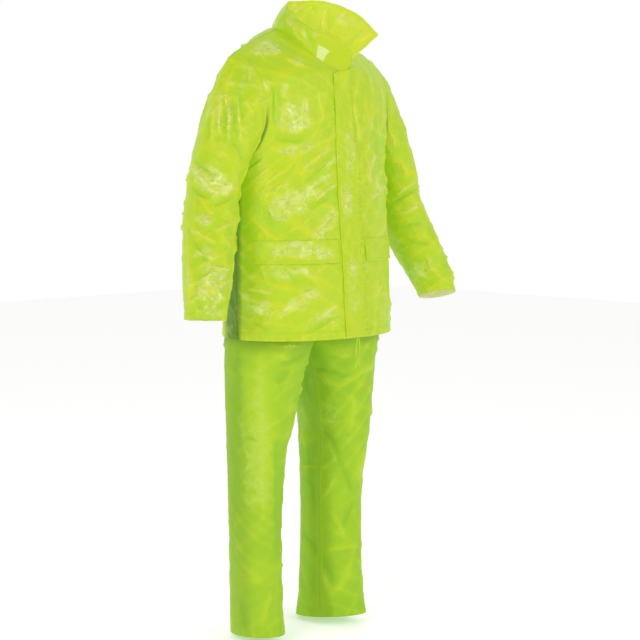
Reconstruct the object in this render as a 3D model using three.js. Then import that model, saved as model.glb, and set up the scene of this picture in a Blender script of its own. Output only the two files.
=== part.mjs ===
// Rain suit: jacket with a stand collar over straight trousers, filled out with no wearer. Millimetres,
// +Z up. The front faces -Y and the wearer's left is +X. Heights in the tables are measured up from
// about the trouser hems, and the group is lowered so that its origin is the neck.
import * as THREE from "three";

const wall = 1.5; // coated cloth, as a wall that stands by itself
const seamGap = 0.3;
const layLift = 0.5; // air between a panel and what lies on it
const neckHeight = 1503; // neck side points above the trouser hems
const degree = Math.PI / 180;

const flapHalfWidth = 35; // storm flap, either side of the centre front
const pocketFlapDrop = 56;
const pocketSpan = { from: 0.115, to: 0.8, top: 0.375 }; // in the front panels' own u and v
const tape = { halfWidth: 13, wall: 1, foot: 0.02, top: 0.784 }; // zip tape, foot and top in v
const lining = { toSide: 0.42, foot: 0.72, rise: 0.19, wall: 1 }; // mesh on the back, in the back's u and v
const waist = { wide: 168, deep: 114, middle: -8, height: 40, wall: 2.5 };
const cordDiameter = 3.2;
const cordMiddle = 4; // the two cord ends hang either side of this x
const knot = { wide: 5.2, deep: 4, tall: 4.2, y: -190, height: 694 };

// About how far the cloth of each panel reaches across and along, which turns its u and v into
// millimetres.
const panelSize = {
  front: { across: 372, along: 640 },
  torso: { across: 330, along: 700 },
  sleeve: { across: 420, along: 660 },
  leg: { across: 560, along: 952 },
};

// Jacket front, one half. centre runs up the front edge and round the neckline, side runs up the side
// seam and round the front of the armhole. Each pull is the way the cloth leaves or reaches that edge. v
// goes hem to shoulder.
const frontRows = [
  { v: 0.0, centre: [0, -193, 748], pull: [415, 0, 0], side: [240, -22, 748], sidePull: [0, 290, 0] },
  { v: 0.14, centre: [0, -187, 838], pull: [415, 0, 0], side: [241, -21, 838], sidePull: [0, 280, 0] },
  { v: 0.28, centre: [0, -181, 928], pull: [415, 0, 0], side: [241, -20, 928], sidePull: [0, 270, 0] },
  { v: 0.42, centre: [0, -172, 1020], pull: [415, 0, 0], side: [241, -18, 1018], sidePull: [0, 262, 0] },
  { v: 0.54, centre: [0, -165, 1098], pull: [415, 0, 0], side: [241, -15, 1092], sidePull: [0, 255, 0] },
  {
    v: 0.64, corner: "side",
    centre: [0, -160, 1175], pull: [410, 0, 0], side: [250, -12, 1160], sidePull: [30, 235, 0],
  },
  { v: 0.7, centre: [0, -155, 1225], pull: [390, 0, 4], side: [233, -62, 1196], sidePull: [95, 150, -10] },
  { v: 0.77, centre: [0, -148, 1290], pull: [350, 0, 8], side: [216, -90, 1250], sidePull: [110, 110, -15] },
  { v: 0.84, centre: [0, -139, 1352], pull: [300, -6, 10], side: [212, -96, 1308], sidePull: [110, 85, -25] },
  {
    v: 0.892, corner: "centre",
    centre: [0, -130, 1400], pull: [250, -18, 10], side: [214, -90, 1350], sidePull: [110, 60, -40],
  },
  { v: 0.928, centre: [42, -106, 1424], pull: [200, -14, -10], side: [218, -75, 1385], sidePull: [110, 40, -55] },
  { v: 0.964, centre: [74, -66, 1466], pull: [160, -8, -45], side: [224, -47, 1416], sidePull: [115, 20, -65] },
  { v: 1.0, centre: [82, 2, 1503], pull: [135, 0, -48], side: [230, -8, 1441], sidePull: [150, 0, -78] },
];

// Jacket back, one half, laid out the same way from the centre back.
const backRows = [
  { v: 0.0, centre: [0, 156, 748], pull: [415, 0, 0], side: [240, -22, 748], sidePull: [0, -300, 0] },
  { v: 0.14, centre: [0, 148, 838], pull: [415, 0, 0], side: [241, -21, 838], sidePull: [0, -290, 0] },
  { v: 0.28, centre: [0, 141, 928], pull: [415, 0, 0], side: [241, -20, 928], sidePull: [0, -280, 0] },
  { v: 0.42, centre: [0, 137, 1020], pull: [415, 0, 0], side: [241, -18, 1018], sidePull: [0, -272, 0] },
  { v: 0.54, centre: [0, 138, 1098], pull: [415, 0, 0], side: [241, -15, 1092], sidePull: [0, -265, 0] },
  {
    v: 0.64, corner: "side",
    centre: [0, 142, 1175], pull: [410, 0, 0], side: [250, -12, 1160], sidePull: [30, -245, 0],
  },
  { v: 0.7, centre: [0, 144, 1232], pull: [400, 0, 0], side: [236, 42, 1196], sidePull: [95, -165, -10] },
  { v: 0.77, centre: [0, 143, 1300], pull: [380, 0, 0], side: [222, 80, 1250], sidePull: [110, -120, -15] },
  { v: 0.84, centre: [0, 138, 1366], pull: [350, 4, 0], side: [217, 86, 1308], sidePull: [110, -85, -25] },
  { v: 0.89, centre: [0, 126, 1420], pull: [320, 6, -5], side: [218, 77, 1350], sidePull: [110, -60, -40] },
  { v: 0.93, centre: [0, 108, 1466], pull: [290, 6, -20], side: [221, 56, 1385], sidePull: [110, -40, -55] },
  {
    v: 0.964, corner: "centre",
    centre: [0, 72, 1512], pull: [250, 0, -35], side: [226, 28, 1416], sidePull: [115, -20, -65],
  },
  { v: 0.982, centre: [55, 50, 1510], pull: [185, 0, -42], side: [228, 10, 1430], sidePull: [130, -10, -70] },
  { v: 1.0, centre: [82, 2, 1503], pull: [135, 0, -48], side: [230, -8, 1441], sidePull: [150, 0, -78] },
];

// Arm sections down the sleeve: place of the middle, half width from body outwards, half depth front to
// back.
const sleeveRows = [
  { height: 1125, x: 313, y: -22, wide: 54, deep: 76 },
  { height: 1095, x: 317, y: -21, wide: 54, deep: 74 },
  { height: 1055, x: 328, y: -27, wide: 58, deep: 74 },
  { height: 1000, x: 347, y: -43, wide: 57, deep: 71 },
  { height: 920, x: 378, y: -72, wide: 53, deep: 66 },
  { height: 860, x: 397, y: -88, wide: 48, deep: 59 },
  { height: 812, x: 409, y: -96, wide: 45, deep: 54 },
];
const capShare = 0.4; // share of the sleeve's rows that round the shoulder

// Leg sections: place of the middle, half widths towards the other leg and away from it, half depth,
// toe-out in degrees, how far the section has opened into half of the hips, the share of its cloth on
// each side of the inseam that lies on the inner half, and the rows up to the next section.
const legRows = [
  { height: -8, x: 131, y: 28, inner: 56, outer: 58, deep: 102, turn: 15, open: 0, share: 0.25, steps: 2 },
  { height: 60, x: 133, y: 31, inner: 57, outer: 59, deep: 92, turn: 15, open: 0, share: 0.25, steps: 3 },
  { height: 234, x: 135, y: 32, inner: 59, outer: 61, deep: 86, turn: 15, open: 0, share: 0.25, steps: 3 },
  { height: 355, x: 134, y: 31, inner: 63, outer: 66, deep: 87, turn: 14, open: 0, share: 0.25, steps: 3 },
  { height: 478, x: 136, y: 23, inner: 66, outer: 68, deep: 100, turn: 13, open: 0, share: 0.24, steps: 2 },
  { height: 560, x: 129, y: 17, inner: 77, outer: 80, deep: 108, turn: 11, open: 0, share: 0.22, steps: 2 },
  { height: 610, x: 124, y: 14, inner: 80, outer: 86, deep: 113, turn: 9, open: 0, share: 0.22, steps: 2 },
  { height: 655, x: 128, y: 9, inner: 97, outer: 89, deep: 110, turn: 7, open: 0, share: 0.23, steps: 2 },
  { height: 700, x: 127, y: 4, inner: 112, outer: 91, deep: 113, turn: 4, open: 0, share: 0.23, steps: 1 },
  { height: 738, x: 121, y: 0, inner: 116, outer: 97, deep: 119, turn: 2, open: 0, share: 0.22, steps: 1 },
  { height: 748, x: 94, y: -1, inner: 93.85, outer: 125, deep: 127, turn: 0, open: 0, share: 0.16, steps: 1 },
  { height: 757, x: 60, y: -2, inner: 59.85, outer: 159, deep: 137, turn: 0, open: 0, share: 0.11, steps: 1 },
  { height: 766, x: 30, y: -1.8, inner: 29.85, outer: 189, deep: 144, turn: 0, open: 0.35, share: 0.07, steps: 1 },
  { height: 776, x: 8, y: -1.6, inner: 7.85, outer: 210, deep: 150, turn: 0, open: 0.72, share: 0.045, steps: 1 },
  { height: 792, x: 5, y: -2.4, inner: 4.85, outer: 212, deep: 149, turn: 0, open: 0.94, share: 0.02, steps: 1 },
  { height: 815, x: 1, y: -3.5, inner: 0.85, outer: 213, deep: 145, turn: 0, open: 1, share: 0, steps: 1 },
  { height: 850, x: 1, y: -5, inner: 0.85, outer: 206, deep: 140, turn: 0, open: 1, share: 0, steps: 1 },
  { height: 930, x: 1, y: -8, inner: 0.85, outer: 178, deep: 120, turn: 0, open: 1, share: 0, steps: 1 },
  { height: 952, x: 1, y: -8, inner: 0.85, outer: 168, deep: 114, turn: 0, open: 1, share: 0, steps: 0 },
];
const hemTilt = 12; // trouser hems rise this much at the toe and drop as much at the heel

// Stand collar round the neckline: at runs from -1, the front of the neck by way of the wearer's right,
// through 0 at the centre back, to 1. The left end falls open outwards.
const collarRows = [
  { at: -0.77, top: [-43, -104, 1485], lean: 2 },
  { at: -0.6, top: [-67, -68, 1514], lean: 5 },
  { at: -0.42, top: [-60, -15, 1551], lean: 5 },
  { at: -0.2, top: [-24, 24, 1571], lean: 4 },
  { at: 0, top: [27, 30, 1578], lean: 3 },
  { at: 0.2, top: [76, 9, 1580], lean: 4 },
  { at: 0.42, top: [103, -35, 1566], lean: 4 },
  { at: 0.6, top: [109, -96, 1538], lean: 4 },
  { at: 0.77, top: [88, -178, 1487], lean: 2 },
];
const neckSpread = { x: 8, y: -17 }; // the left front's neck edge is pulled open this far

// The largest folds of each panel: where the trough runs from and to in the panel's own u and v, half
// width in millimetres, and depth (negative stands proud).
const frontFolds = [
  { from: [0.62, 0.58], to: [0.3, 0.42], spread: 16, depth: 5 },
  { from: [0.4, 0.3], to: [0.16, 0.5], spread: 15, depth: 4 },
  { from: [0.5, 0.88], to: [0.45, 0.7], spread: 13, depth: 5 },
  { from: [0.72, 0.04], to: [0.5, 0.24], spread: 16, depth: 4 },
  { from: [0.8, 0.36], to: [0.66, 0.56], spread: 15, depth: -4 },
];
const backFolds = [
  { from: [0.62, 0.6], to: [0.2, 0.44], spread: 18, depth: 5 },
  { from: [0.75, 0.7], to: [0.55, 0.9], spread: 16, depth: 4 },
  { from: [0.3, 0.05], to: [0.42, 0.36], spread: 18, depth: 4 },
];
const sleeveFolds = [
  { from: [0.12, 0.12], to: [0.16, 0.4], spread: 13, depth: 5 },
  { from: [0.05, 0.6], to: [0.42, 0.53], spread: 11, depth: 5 },
  { from: [0.1, 0.68], to: [0.5, 0.62], spread: 11, depth: 5 },
  { from: [0.55, 0.52], to: [0.9, 0.58], spread: 12, depth: 4 },
  { from: [0.2, 0.86], to: [0.45, 0.75], spread: 11, depth: 4 },
];
const legFolds = [
  { from: [0.3, 0.36], to: [0.38, 0.62], spread: 16, depth: 5 },
  { from: [0.12, 0.5], to: [0.36, 0.44], spread: 14, depth: 5 },
  { from: [0.1, 0.14], to: [0.34, 0.24], spread: 15, depth: 4 },
  { from: [0.6, 0.34], to: [0.86, 0.4], spread: 15, depth: 5 },
  { from: [0.5, 0.55], to: [0.54, 0.2], spread: 16, depth: -4 },
];

// One column of a table at a value between its rows, as a smooth curve through them that turns sharply
// only at a row whose corner names that column.
function column(rows, key, name, at) {
  let i = 0;
  while (i < rows.length - 2 && at > rows[i + 1][key]) i++;
  const a = rows[i];
  const b = rows[i + 1];
  const before = a.corner === name ? a : rows[Math.max(0, i - 1)];
  const after = b.corner === name ? b : rows[Math.min(rows.length - 1, i + 2)];
  const span = b[key] - a[key];
  const t = THREE.MathUtils.clamp((at - a[key]) / span, 0, 1);
  const between = (p0, p1, p2, p3) => {
    const m1 = ((p2 - p0) / (b[key] - before[key])) * span;
    const m2 = ((p3 - p1) / (after[key] - a[key])) * span;
    return hermite(p1, m1, p2, m2, t);
  };
  if (!Array.isArray(a[name])) return between(before[name], a[name], b[name], after[name]);
  return new THREE.Vector3(
    ...a[name].map((value, k) => between(before[name][k], value, b[name][k], after[name][k])),
  );
}

function hermite(p1, m1, p2, m2, t) {
  const s = t * t;
  const c = s * t;
  return (2 * c - 3 * s + 1) * p1 + (c - 2 * s + t) * m1 + (3 * s - 2 * c) * p2 + (c - s) * m2;
}

function hermitePoint(p1, m1, p2, m2, t) {
  return new THREE.Vector3(
    hermite(p1.x, m1.x, p2.x, m2.x, t),
    hermite(p1.y, m1.y, p2.y, m2.y, t),
    hermite(p1.z, m1.z, p2.z, m2.z, t),
  );
}

const smoothStep = (t) => THREE.MathUtils.smoothstep(t, 0, 1);
const mirrored = (p, side) => new THREE.Vector3(p.x * side, p.y, p.z);

// Depth of the folds at a point of a panel.
function foldDepth(folds, u, v, { across, along }) {
  let depth = 0;
  for (const fold of folds) {
    const ax = fold.from[0] * across;
    const ay = fold.from[1] * along;
    const dx = fold.to[0] * across - ax;
    const dy = fold.to[1] * along - ay;
    const length = Math.hypot(dx, dy);
    const s = THREE.MathUtils.clamp(((u * across - ax) * dx + (v * along - ay) * dy) / length ** 2, 0, 1);
    const away = Math.hypot(u * across - ax - s * dx, v * along - ay - s * dy) / fold.spread;
    depth += fold.depth * Math.exp(-away * away);
  }
  return depth;
}

// A grid of points: rows by columns, and whether the columns close into a ring.
function gridOf(rowCount, columnCount, closed, pointAt) {
  const points = [];
  for (let i = 0; i <= rowCount; i++) {
    const row = [];
    for (let j = 0; j <= columnCount - (closed ? 1 : 0); j++) row.push(pointAt(j / columnCount, i / rowCount));
    points.push(row);
  }
  return { points, closed };
}

// The outward normal at each grid point, from its neighbours.
function normalsOf(grid, outward) {
  const { points, closed } = grid;
  const last = points.length - 1;
  return points.map((row, i) =>
    row.map((point, j) => {
      const end = row.length - 1;
      const right = closed ? row[(j + 1) % row.length] : row[Math.min(j + 1, end)];
      const left = closed ? row[(j + end) % row.length] : row[Math.max(j - 1, 0)];
      const across = right.clone().sub(left);
      const along = points[Math.min(i + 1, last)][j].clone().sub(points[Math.max(i - 1, 0)][j]);
      return across.cross(along).normalize().multiplyScalar(outward);
    }),
  );
}

// Moves a grid along its normals by a distance worked out from u and v.
function moved(grid, outward, distance) {
  const normals = normalsOf(grid, outward);
  const last = grid.points.length - 1;
  const points = grid.points.map((row, i) => {
    const columns = grid.closed ? row.length : row.length - 1;
    return row.map((p, j) => p.clone().addScaledVector(normals[i][j], distance(j / columns, i / last)));
  });
  return { points, closed: grid.closed };
}

// Gives a sheet of triangles a wall, from its outer side inwards, and closes it round every open edge. A
// point on a seam carries the way across it, and its wall is laid without that part, so that both sides
// stay apart.
function wallOf(grids, outward, thickness) {
  const points = [];
  const normals = [];
  const known = new Map();
  const faces = [];
  const indexOf = (p) => {
    const key = [p.x, p.y, p.z].map((value) => Math.round(value * 500)).join(",");
    if (!known.has(key)) {
      known.set(key, points.length);
      points.push(p);
      normals.push(new THREE.Vector3());
    }
    return known.get(key);
  };
  grids.forEach(({ points: rows, closed, flipped }) => {
    const turn = flipped ? -outward : outward;
    for (let i = 0; i + 1 < rows.length; i++) {
      const columns = closed ? rows[i].length : rows[i].length - 1;
      for (let j = 0; j < columns; j++) {
        const k = (j + 1) % rows[i].length;
        const [a, b, c, d] = [rows[i][j], rows[i][k], rows[i + 1][k], rows[i + 1][j]].map(indexOf);
        faces.push(...(turn > 0 ? [[a, b, c], [a, c, d]] : [[a, c, b], [a, d, c]]));
      }
    }
  });
  const solid = faces.filter(([a, b, c]) => a !== b && b !== c && c !== a);
  for (const [a, b, c] of solid) {
    const ab = points[b].clone().sub(points[a]);
    const normal = ab.cross(points[c].clone().sub(points[a]));
    [a, b, c].forEach((i) => normals[i].add(normal));
  }
  const count = points.length;
  const inner = points.map((p, i) => {
    const way = normals[i].normalize();
    if (p.seam) {
      const cross = way.dot(p.seam);
      const share = 1 - smoothStep((Math.abs(cross) - 0.75) / 0.2);
      way.addScaledVector(p.seam, -cross * share).normalize();
    }
    return p.clone().addScaledVector(way, -thickness);
  });
  const open = new Map();
  for (const [a, b, c] of solid)
    for (const [i, j] of [[a, b], [b, c], [c, a]]) {
      if (open.has(j + "," + i)) open.delete(j + "," + i);
      else open.set(i + "," + j, [i, j]);
    }
  const all = solid.map((face) => face.slice());
  for (const [a, b, c] of solid) all.push([a + count, c + count, b + count]);
  for (const [i, j] of open.values()) all.push([j, i, i + count], [j, i + count, j + count]);
  const geometry = new THREE.BufferGeometry();
  const positions = points.concat(inner).flatMap((p) => [p.x, p.y, p.z]);
  geometry.setAttribute("position", new THREE.Float32BufferAttribute(positions, 3));
  geometry.setIndex(all.flat());
  geometry.computeVertexNormals();
  return geometry;
}

// A point of a grid between its corners, with the normal there.
function onGrid(grid, normals, u, v) {
  const rows = grid.points.length - 1;
  const columns = grid.points[0].length - 1;
  const y = THREE.MathUtils.clamp(v, 0, 1) * rows;
  const x = THREE.MathUtils.clamp(u, 0, 1) * columns;
  const i = Math.min(rows - 1, Math.floor(y));
  const j = Math.min(columns - 1, Math.floor(x));
  const mix = (table) => {
    const low = table[i][j].clone().lerp(table[i][j + 1], x - j);
    return low.lerp(table[i + 1][j].clone().lerp(table[i + 1][j + 1], x - j), y - i);
  };
  return { point: mix(grid.points), normal: mix(normals).normalize() };
}

const cloth = (color, roughness = 0.34) =>
  new THREE.MeshStandardMaterial({ color, roughness, metalness: 0, side: THREE.DoubleSide });
const jacketCloth = cloth(0xc6dc26);
const trouserCloth = cloth(0xa4d62e);
const meshCloth = cloth(0xf2f4e6, 0.9);
const tapeCloth = cloth(0xb4cc30, 0.8);
const cordCloth = cloth(0xb8d440, 0.8);

const suit = new THREE.Group();
function add(name, geometry, material) {
  const mesh = new THREE.Mesh(geometry, material);
  mesh.name = name;
  suit.add(mesh);
}

// A point of one half of the jacket's front or back: u from the centre to the side, v from hem to
// shoulder.
function torsoPoint(rows, side, u, v) {
  const edge = column(rows, "v", "centre", v);
  const reach = column(rows, "v", "side", v);
  const p = hermitePoint(edge, column(rows, "v", "pull", v), reach, column(rows, "v", "sidePull", v), u);
  p.x = Math.max(p.x, rows === frontRows ? seamGap / 2 : 0);
  return mirrored(p, side);
}

const neckFrontLevel = 0.892; // v of the neck's lowest point at the front
const neckBackLevel = 0.964;
const armholeFrom = 0.64; // v of the underarm in the front and back tables
const lowerLevels = Array.from({ length: 10 }, (_, i) => (armholeFrom * i) / 10);
const upperLevels = [
  0.64, 0.676, 0.712, 0.748, 0.784, 0.82, 0.856, neckFrontLevel, 0.928, neckBackLevel, 0.976, 0.988, 1,
];
const torsoLevels = lowerLevels.concat(upperLevels);
const torsoRowCount = torsoLevels.length - 1;
const levelAt = (share) => torsoLevels[Math.round(share * torsoRowCount)];

// The share of the rows below a level, so that a place on a panel is given by its own v.
function rowShare(v) {
  let i = 0;
  while (i < torsoRowCount - 1 && v > torsoLevels[i + 1]) i++;
  return (i + (v - torsoLevels[i]) / (torsoLevels[i + 1] - torsoLevels[i])) / torsoRowCount;
}
const frontColumns = 10;
const sideTrim = (seamGap / 2) / panelSize.torso.across; // as a share of a row's length
const shoulderTrim = (seamGap / 2) / panelSize.torso.along;
const centreShare = (seamGap / 2) / 415;

// Marks the seams round one half of a torso panel: its centre edge, side seam and armhole, and shoulder.
function markSeams(grid, side, centreTo) {
  const last = grid.points.length - 1;
  grid.points.forEach((row, i) => {
    const v = torsoLevels[i];
    const armhole = new THREE.Vector3(side, 0, -0.35).normalize();
    row[row.length - 1].seam = v <= armholeFrom ? new THREE.Vector3(0, 1, 0) : armhole;
    if (v < centreTo) row[0].seam = new THREE.Vector3(1, 0, 0);
  });
  for (const p of grid.points[last]) p.seam = new THREE.Vector3(0, 1, 0);
  return grid;
}

// A point of a front, with the left neck edge pulled open.
function frontPoint(side, u, v) {
  const p = torsoPoint(frontRows, side, u, v);
  const pulled = side > 0 ? smoothStep((v - 0.82) / 0.09) * smoothStep((1 - v) / 0.06) * (1 - u) ** 3 : 0;
  p.x += neckSpread.x * pulled;
  p.y += neckSpread.y * pulled;
  return p;
}

function frontGrid(side) {
  const base = gridOf(torsoRowCount, frontColumns, false, (u, share) => {
    const across = centreShare + u * (1 - centreShare - sideTrim);
    return frontPoint(side, across, levelAt(share) * (1 - shoulderTrim));
  });
  const edgeCalm = (u) => smoothStep(u / 0.12) * smoothStep((1 - u) / 0.12);
  const depth = (u, share) => foldDepth(frontFolds, u, levelAt(share), panelSize.torso) * edgeCalm(u);
  return markSeams(moved(base, side, (u, share) => -depth(u, share)), side, 0.9);
}

const fronts = { right: frontGrid(-1), left: frontGrid(1) };
add("right_front", wallOf([fronts.right], -1, wall), jacketCloth);
add("left_front", wallOf([fronts.left], 1, wall), jacketCloth);

// The back is one piece: its two halves share the centre line up to the neck.
function backGrid(side) {
  const base = gridOf(torsoRowCount, frontColumns, false, (u, share) => {
    const v = levelAt(share);
    const p = torsoPoint(backRows, side, u * (1 - sideTrim), v * (1 - shoulderTrim));
    if (u === 0 && v <= neckBackLevel) p.x = 0;
    return p;
  });
  const calm = (u, v) => smoothStep(u / 0.12) * smoothStep((1 - u) / 0.12) * smoothStep((1 - v) / 0.08);
  const depth = (u, v) => foldDepth(backFolds, u, v, panelSize.torso) * calm(u, v);
  return markSeams(moved(base, -side, (u, share) => -depth(u, levelAt(share))), side, 0);
}

const backs = [backGrid(-1), { ...backGrid(1), flipped: true }];
add("back", wallOf(backs, 1, wall), jacketCloth);

// Sleeves: the first ring is the armhole, the cap rounds into the arm's oval sections.
function armholePoint(turn) {
  const forward = turn <= 0.5;
  const rows = forward ? frontRows : backRows;
  const share = forward ? turn * 2 : (1 - turn) * 2;
  const levels = upperLevels.length - 1;
  return column(rows, "v", "side", upperLevels[Math.round((1 - share) * levels)]);
}

function armFrame(height) {
  const at = (name, h) => column(sleeveTable, "down", name, h);
  const down = sleeveTop - height;
  const middle = new THREE.Vector3(at("x", down), at("y", down), height);
  const step = 20;
  const ahead = new THREE.Vector3(at("x", down + step), at("y", down + step), height - step);
  const behind = new THREE.Vector3(at("x", down - step), at("y", down - step), height + step);
  const axis = ahead.sub(behind).normalize();
  const front = new THREE.Vector3(0, -1, 0).addScaledVector(axis, axis.y).normalize();
  const out = front.clone().cross(axis).normalize();
  return { middle, axis, front, out, wide: at("wide", down), deep: at("deep", down) };
}

const sleeveTop = sleeveRows[0].height;
const cuffHeight = sleeveRows[sleeveRows.length - 1].height;
const sleeveTable = sleeveRows.map((row) => ({ ...row, down: sleeveTop - row.height }));

function armPoint(turn, height) {
  const { middle, front, out, wide, deep } = armFrame(height);
  const angle = turn * 360 * degree;
  const sideways = out.multiplyScalar(Math.cos(angle) * wide);
  const forwards = front.multiplyScalar(Math.sin(angle) * deep);
  return middle.add(sideways).add(forwards);
}

function sleevePoint(turn, v, side) {
  if (v >= capShare) {
    const height = THREE.MathUtils.lerp(sleeveTop, cuffHeight, (v - capShare) / (1 - capShare));
    return mirrored(armPoint(turn, height), side);
  }
  const top = (1 + Math.cos(turn * 360 * degree)) / 2; // 1 at the shoulder, 0 under the arm
  const start = armholePoint(turn);
  start.x += seamGap * (1 + 3 * (1 - top));
  start.z -= seamGap * (1 - top) * 2;
  const end = armPoint(turn, sleeveTop);
  const reach = start.distanceTo(end);
  const leave = new THREE.Vector3(0.93 * top + 0.25, 0, -0.4 * top - 0.9 * (1 - top)).normalize();
  const arrive = armFrame(sleeveTop).axis;
  const p = hermitePoint(
    start,
    leave.multiplyScalar(reach * (0.42 + 0.03 * top)),
    end,
    arrive.multiplyScalar(reach * 0.55),
    v / capShare,
  );
  return mirrored(p, side);
}

const sleeveRowCount = 18;
const sleeveColumns = 2 * (upperLevels.length - 1); // one for each level round the armhole
for (const [name, side] of [["right_sleeve", -1], ["left_sleeve", 1]]) {
  const base = gridOf(sleeveRowCount, sleeveColumns, true, (u, v) => sleevePoint(u, v, side));
  const calm = (v) => smoothStep((v - 0.04) / 0.1) * smoothStep((1 - v) / 0.06);
  const shaped = moved(base, side, (u, v) => -foldDepth(sleeveFolds, u, v, panelSize.sleeve) * calm(v));
  for (const p of shaped.points[0]) p.seam = new THREE.Vector3(side, 0, -0.35).normalize();
  add(name, wallOf([shaped], side, wall), jacketCloth);
}

// Collar, from its right end round the back of the neck to its left end.
const backNeckShare = 0.42; // share of half the neckline that lies on the back
function necklinePoint(at) {
  const side = at < 0 ? -1 : 1;
  const share = Math.abs(at);
  if (share < backNeckShare)
    return torsoPoint(backRows, side, 0, neckBackLevel + (share / backNeckShare) * (1 - neckBackLevel));
  const down = (share - backNeckShare) / (1 - backNeckShare);
  return frontPoint(side, 0, 1 - down * (1 - neckFrontLevel));
}

function collarPoint(u, v) {
  const ends = collarRows[collarRows.length - 1].at;
  const at = THREE.MathUtils.lerp(-ends, ends, u);
  const lean = column(collarRows, "at", "lean", at);
  const p = necklinePoint(at).lerp(column(collarRows, "at", "top", at), v);
  const out = new THREE.Vector3(p.x, p.y + 15, 0).normalize();
  p.addScaledVector(out, lean * Math.sin(Math.PI * v));
  p.z += seamGap * 3.5;
  return p;
}
const collarGrid = gridOf(4, 28, false, collarPoint);
for (const p of collarGrid.points[0]) p.seam = new THREE.Vector3(0, 0, 1);
add("collar", wallOf([collarGrid], 1, wall), jacketCloth);

// Storm flap: sewn to the left front, lying over the centre front on to the right front. Its two highest
// rows are given in v from the free edge to the root.
const frontNormals = { right: normalsOf(fronts.right, -1), left: normalsOf(fronts.left, 1) };
function onFronts(across, v, lift) {
  const half = across < 0 ? "right" : "left";
  const u = Math.abs(across) / panelSize.front.across;
  const { point, normal } = onGrid(fronts[half], frontNormals[half], u, rowShare(v));
  normal.x *= Math.min(1, Math.abs(across) / 20);
  return point.addScaledVector(normal.normalize(), lift);
}
const flapRows = [0.002].concat(torsoLevels.slice(1, torsoLevels.indexOf(neckFrontLevel)));
const flapTop = [
  [0.87, 0.884], [0.87, 0.888], [0.876, neckFrontLevel], [0.89, 0.908], [neckFrontLevel, 0.914],
];
const flapStandOff = [[0, 1, 2.5, 4.8, 2.5], [1, 3.5, 6, 6, 2.5]]; // the top corner is bent outwards
const flapGrid = gridOf(flapRows.length + 1, flapTop.length - 1, false, (u, share) => {
  const row = Math.round(share * (flapRows.length + 1));
  const column = Math.round(u * (flapTop.length - 1));
  const top = flapTop[column];
  const v = row < flapRows.length ? flapRows[row] : top[row - flapRows.length];
  const clear = row < flapRows.length ? 0 : flapStandOff[row - flapRows.length][column];
  return onFronts(flapHalfWidth * (2 * u - 1), v, layLift + wall + clear);
});
add("storm_flap", wallOf([flapGrid], 1, wall), jacketCloth);

// Zip tape behind the centre front, hidden by the storm flap.
const tapeRows = torsoLevels.slice(0, torsoLevels.indexOf(tape.top) + 1).map((v) => Math.max(v, tape.foot));
const tapeGrid = gridOf(tapeRows.length - 1, 2, false, (u, share) => {
  const v = tapeRows[Math.round(share * (tapeRows.length - 1))];
  return onFronts(tape.halfWidth * (2 * u - 1), v, -wall - layLift);
});
add("front_zip", wallOf([tapeGrid], 1, tape.wall), tapeCloth);

// Pocket flaps hang over the pocket mouths and stand off a little more towards their lower edge.
for (const [name, half, side] of [["right_pocket_flap", "right", -1], ["left_pocket_flap", "left", 1]]) {
  const grid = gridOf(3, 16, false, (u, v) => {
    const across = THREE.MathUtils.lerp(pocketSpan.from, pocketSpan.to, u);
    const height = pocketSpan.top - ((1 - v) * pocketFlapDrop) / panelSize.front.along;
    const { point, normal } = onGrid(fronts[half], frontNormals[half], across, rowShare(height));
    return point.addScaledVector(normal, 3 * layLift + wall + 2 * (1 - v));
  });
  add(name, wallOf([grid], side, wall), jacketCloth);
}

// White mesh inside the upper back, which shows through the open neck.
const backNormals = normalsOf(backs[1], -1);
const liningHalf = (side) => {
  const grid = gridOf(4, 4, false, (u, v) => {
    const height = rowShare(lining.foot + v * lining.rise);
    const { point, normal } = onGrid(backs[1], backNormals, u * lining.toSide, height);
    if (u === 0) normal.x = 0;
    const p = point.addScaledVector(normal.normalize(), -wall - layLift);
    if (u === 0) p.x = 0;
    return mirrored(p, side);
  });
  return { ...grid, flipped: side > 0 };
};
add("back_lining", wallOf([liningHalf(-1), liningHalf(1)], 1, lining.wall), meshCloth);

// Trousers: each leg is one piece that wraps the leg from the inseam and opens into half of the hips.
function legPoint(u, height, side) {
  const at = (name) => column(legRows, "height", name, height);
  const middle = new THREE.Vector2(at("x"), at("y"));
  const turn = at("turn") * degree;
  const open = THREE.MathUtils.clamp(at("open"), 0, 1);
  const share = Math.max(0, at("share"));
  const start = -90 * (1 - open);
  const nearInseam = Math.min(u, 1 - u) < share;
  const aroundInner = start * (1 - Math.min(u, 1 - u) / share);
  const aroundOuter = (180 * (u - share)) / (1 - 2 * share);
  const front = nearInseam ? aroundInner : aroundOuter;
  const angle = (nearInseam && u > 0.5 ? 180 - front : front) * degree;
  const sideways = Math.sin(angle);
  const across = sideways * (sideways < 0 ? at("inner") : at("outer"));
  const forward = Math.cos(angle) * at("deep");
  const x = middle.x + Math.cos(turn) * across + Math.sin(turn) * forward;
  const y = middle.y + Math.sin(turn) * across - Math.cos(turn) * forward;
  const lift = hemTilt * (forward / at("deep")) * smoothStep(1 - height / 200);
  return new THREE.Vector3(Math.max(x, seamGap / 2) * side, y, height + lift);
}

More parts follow.
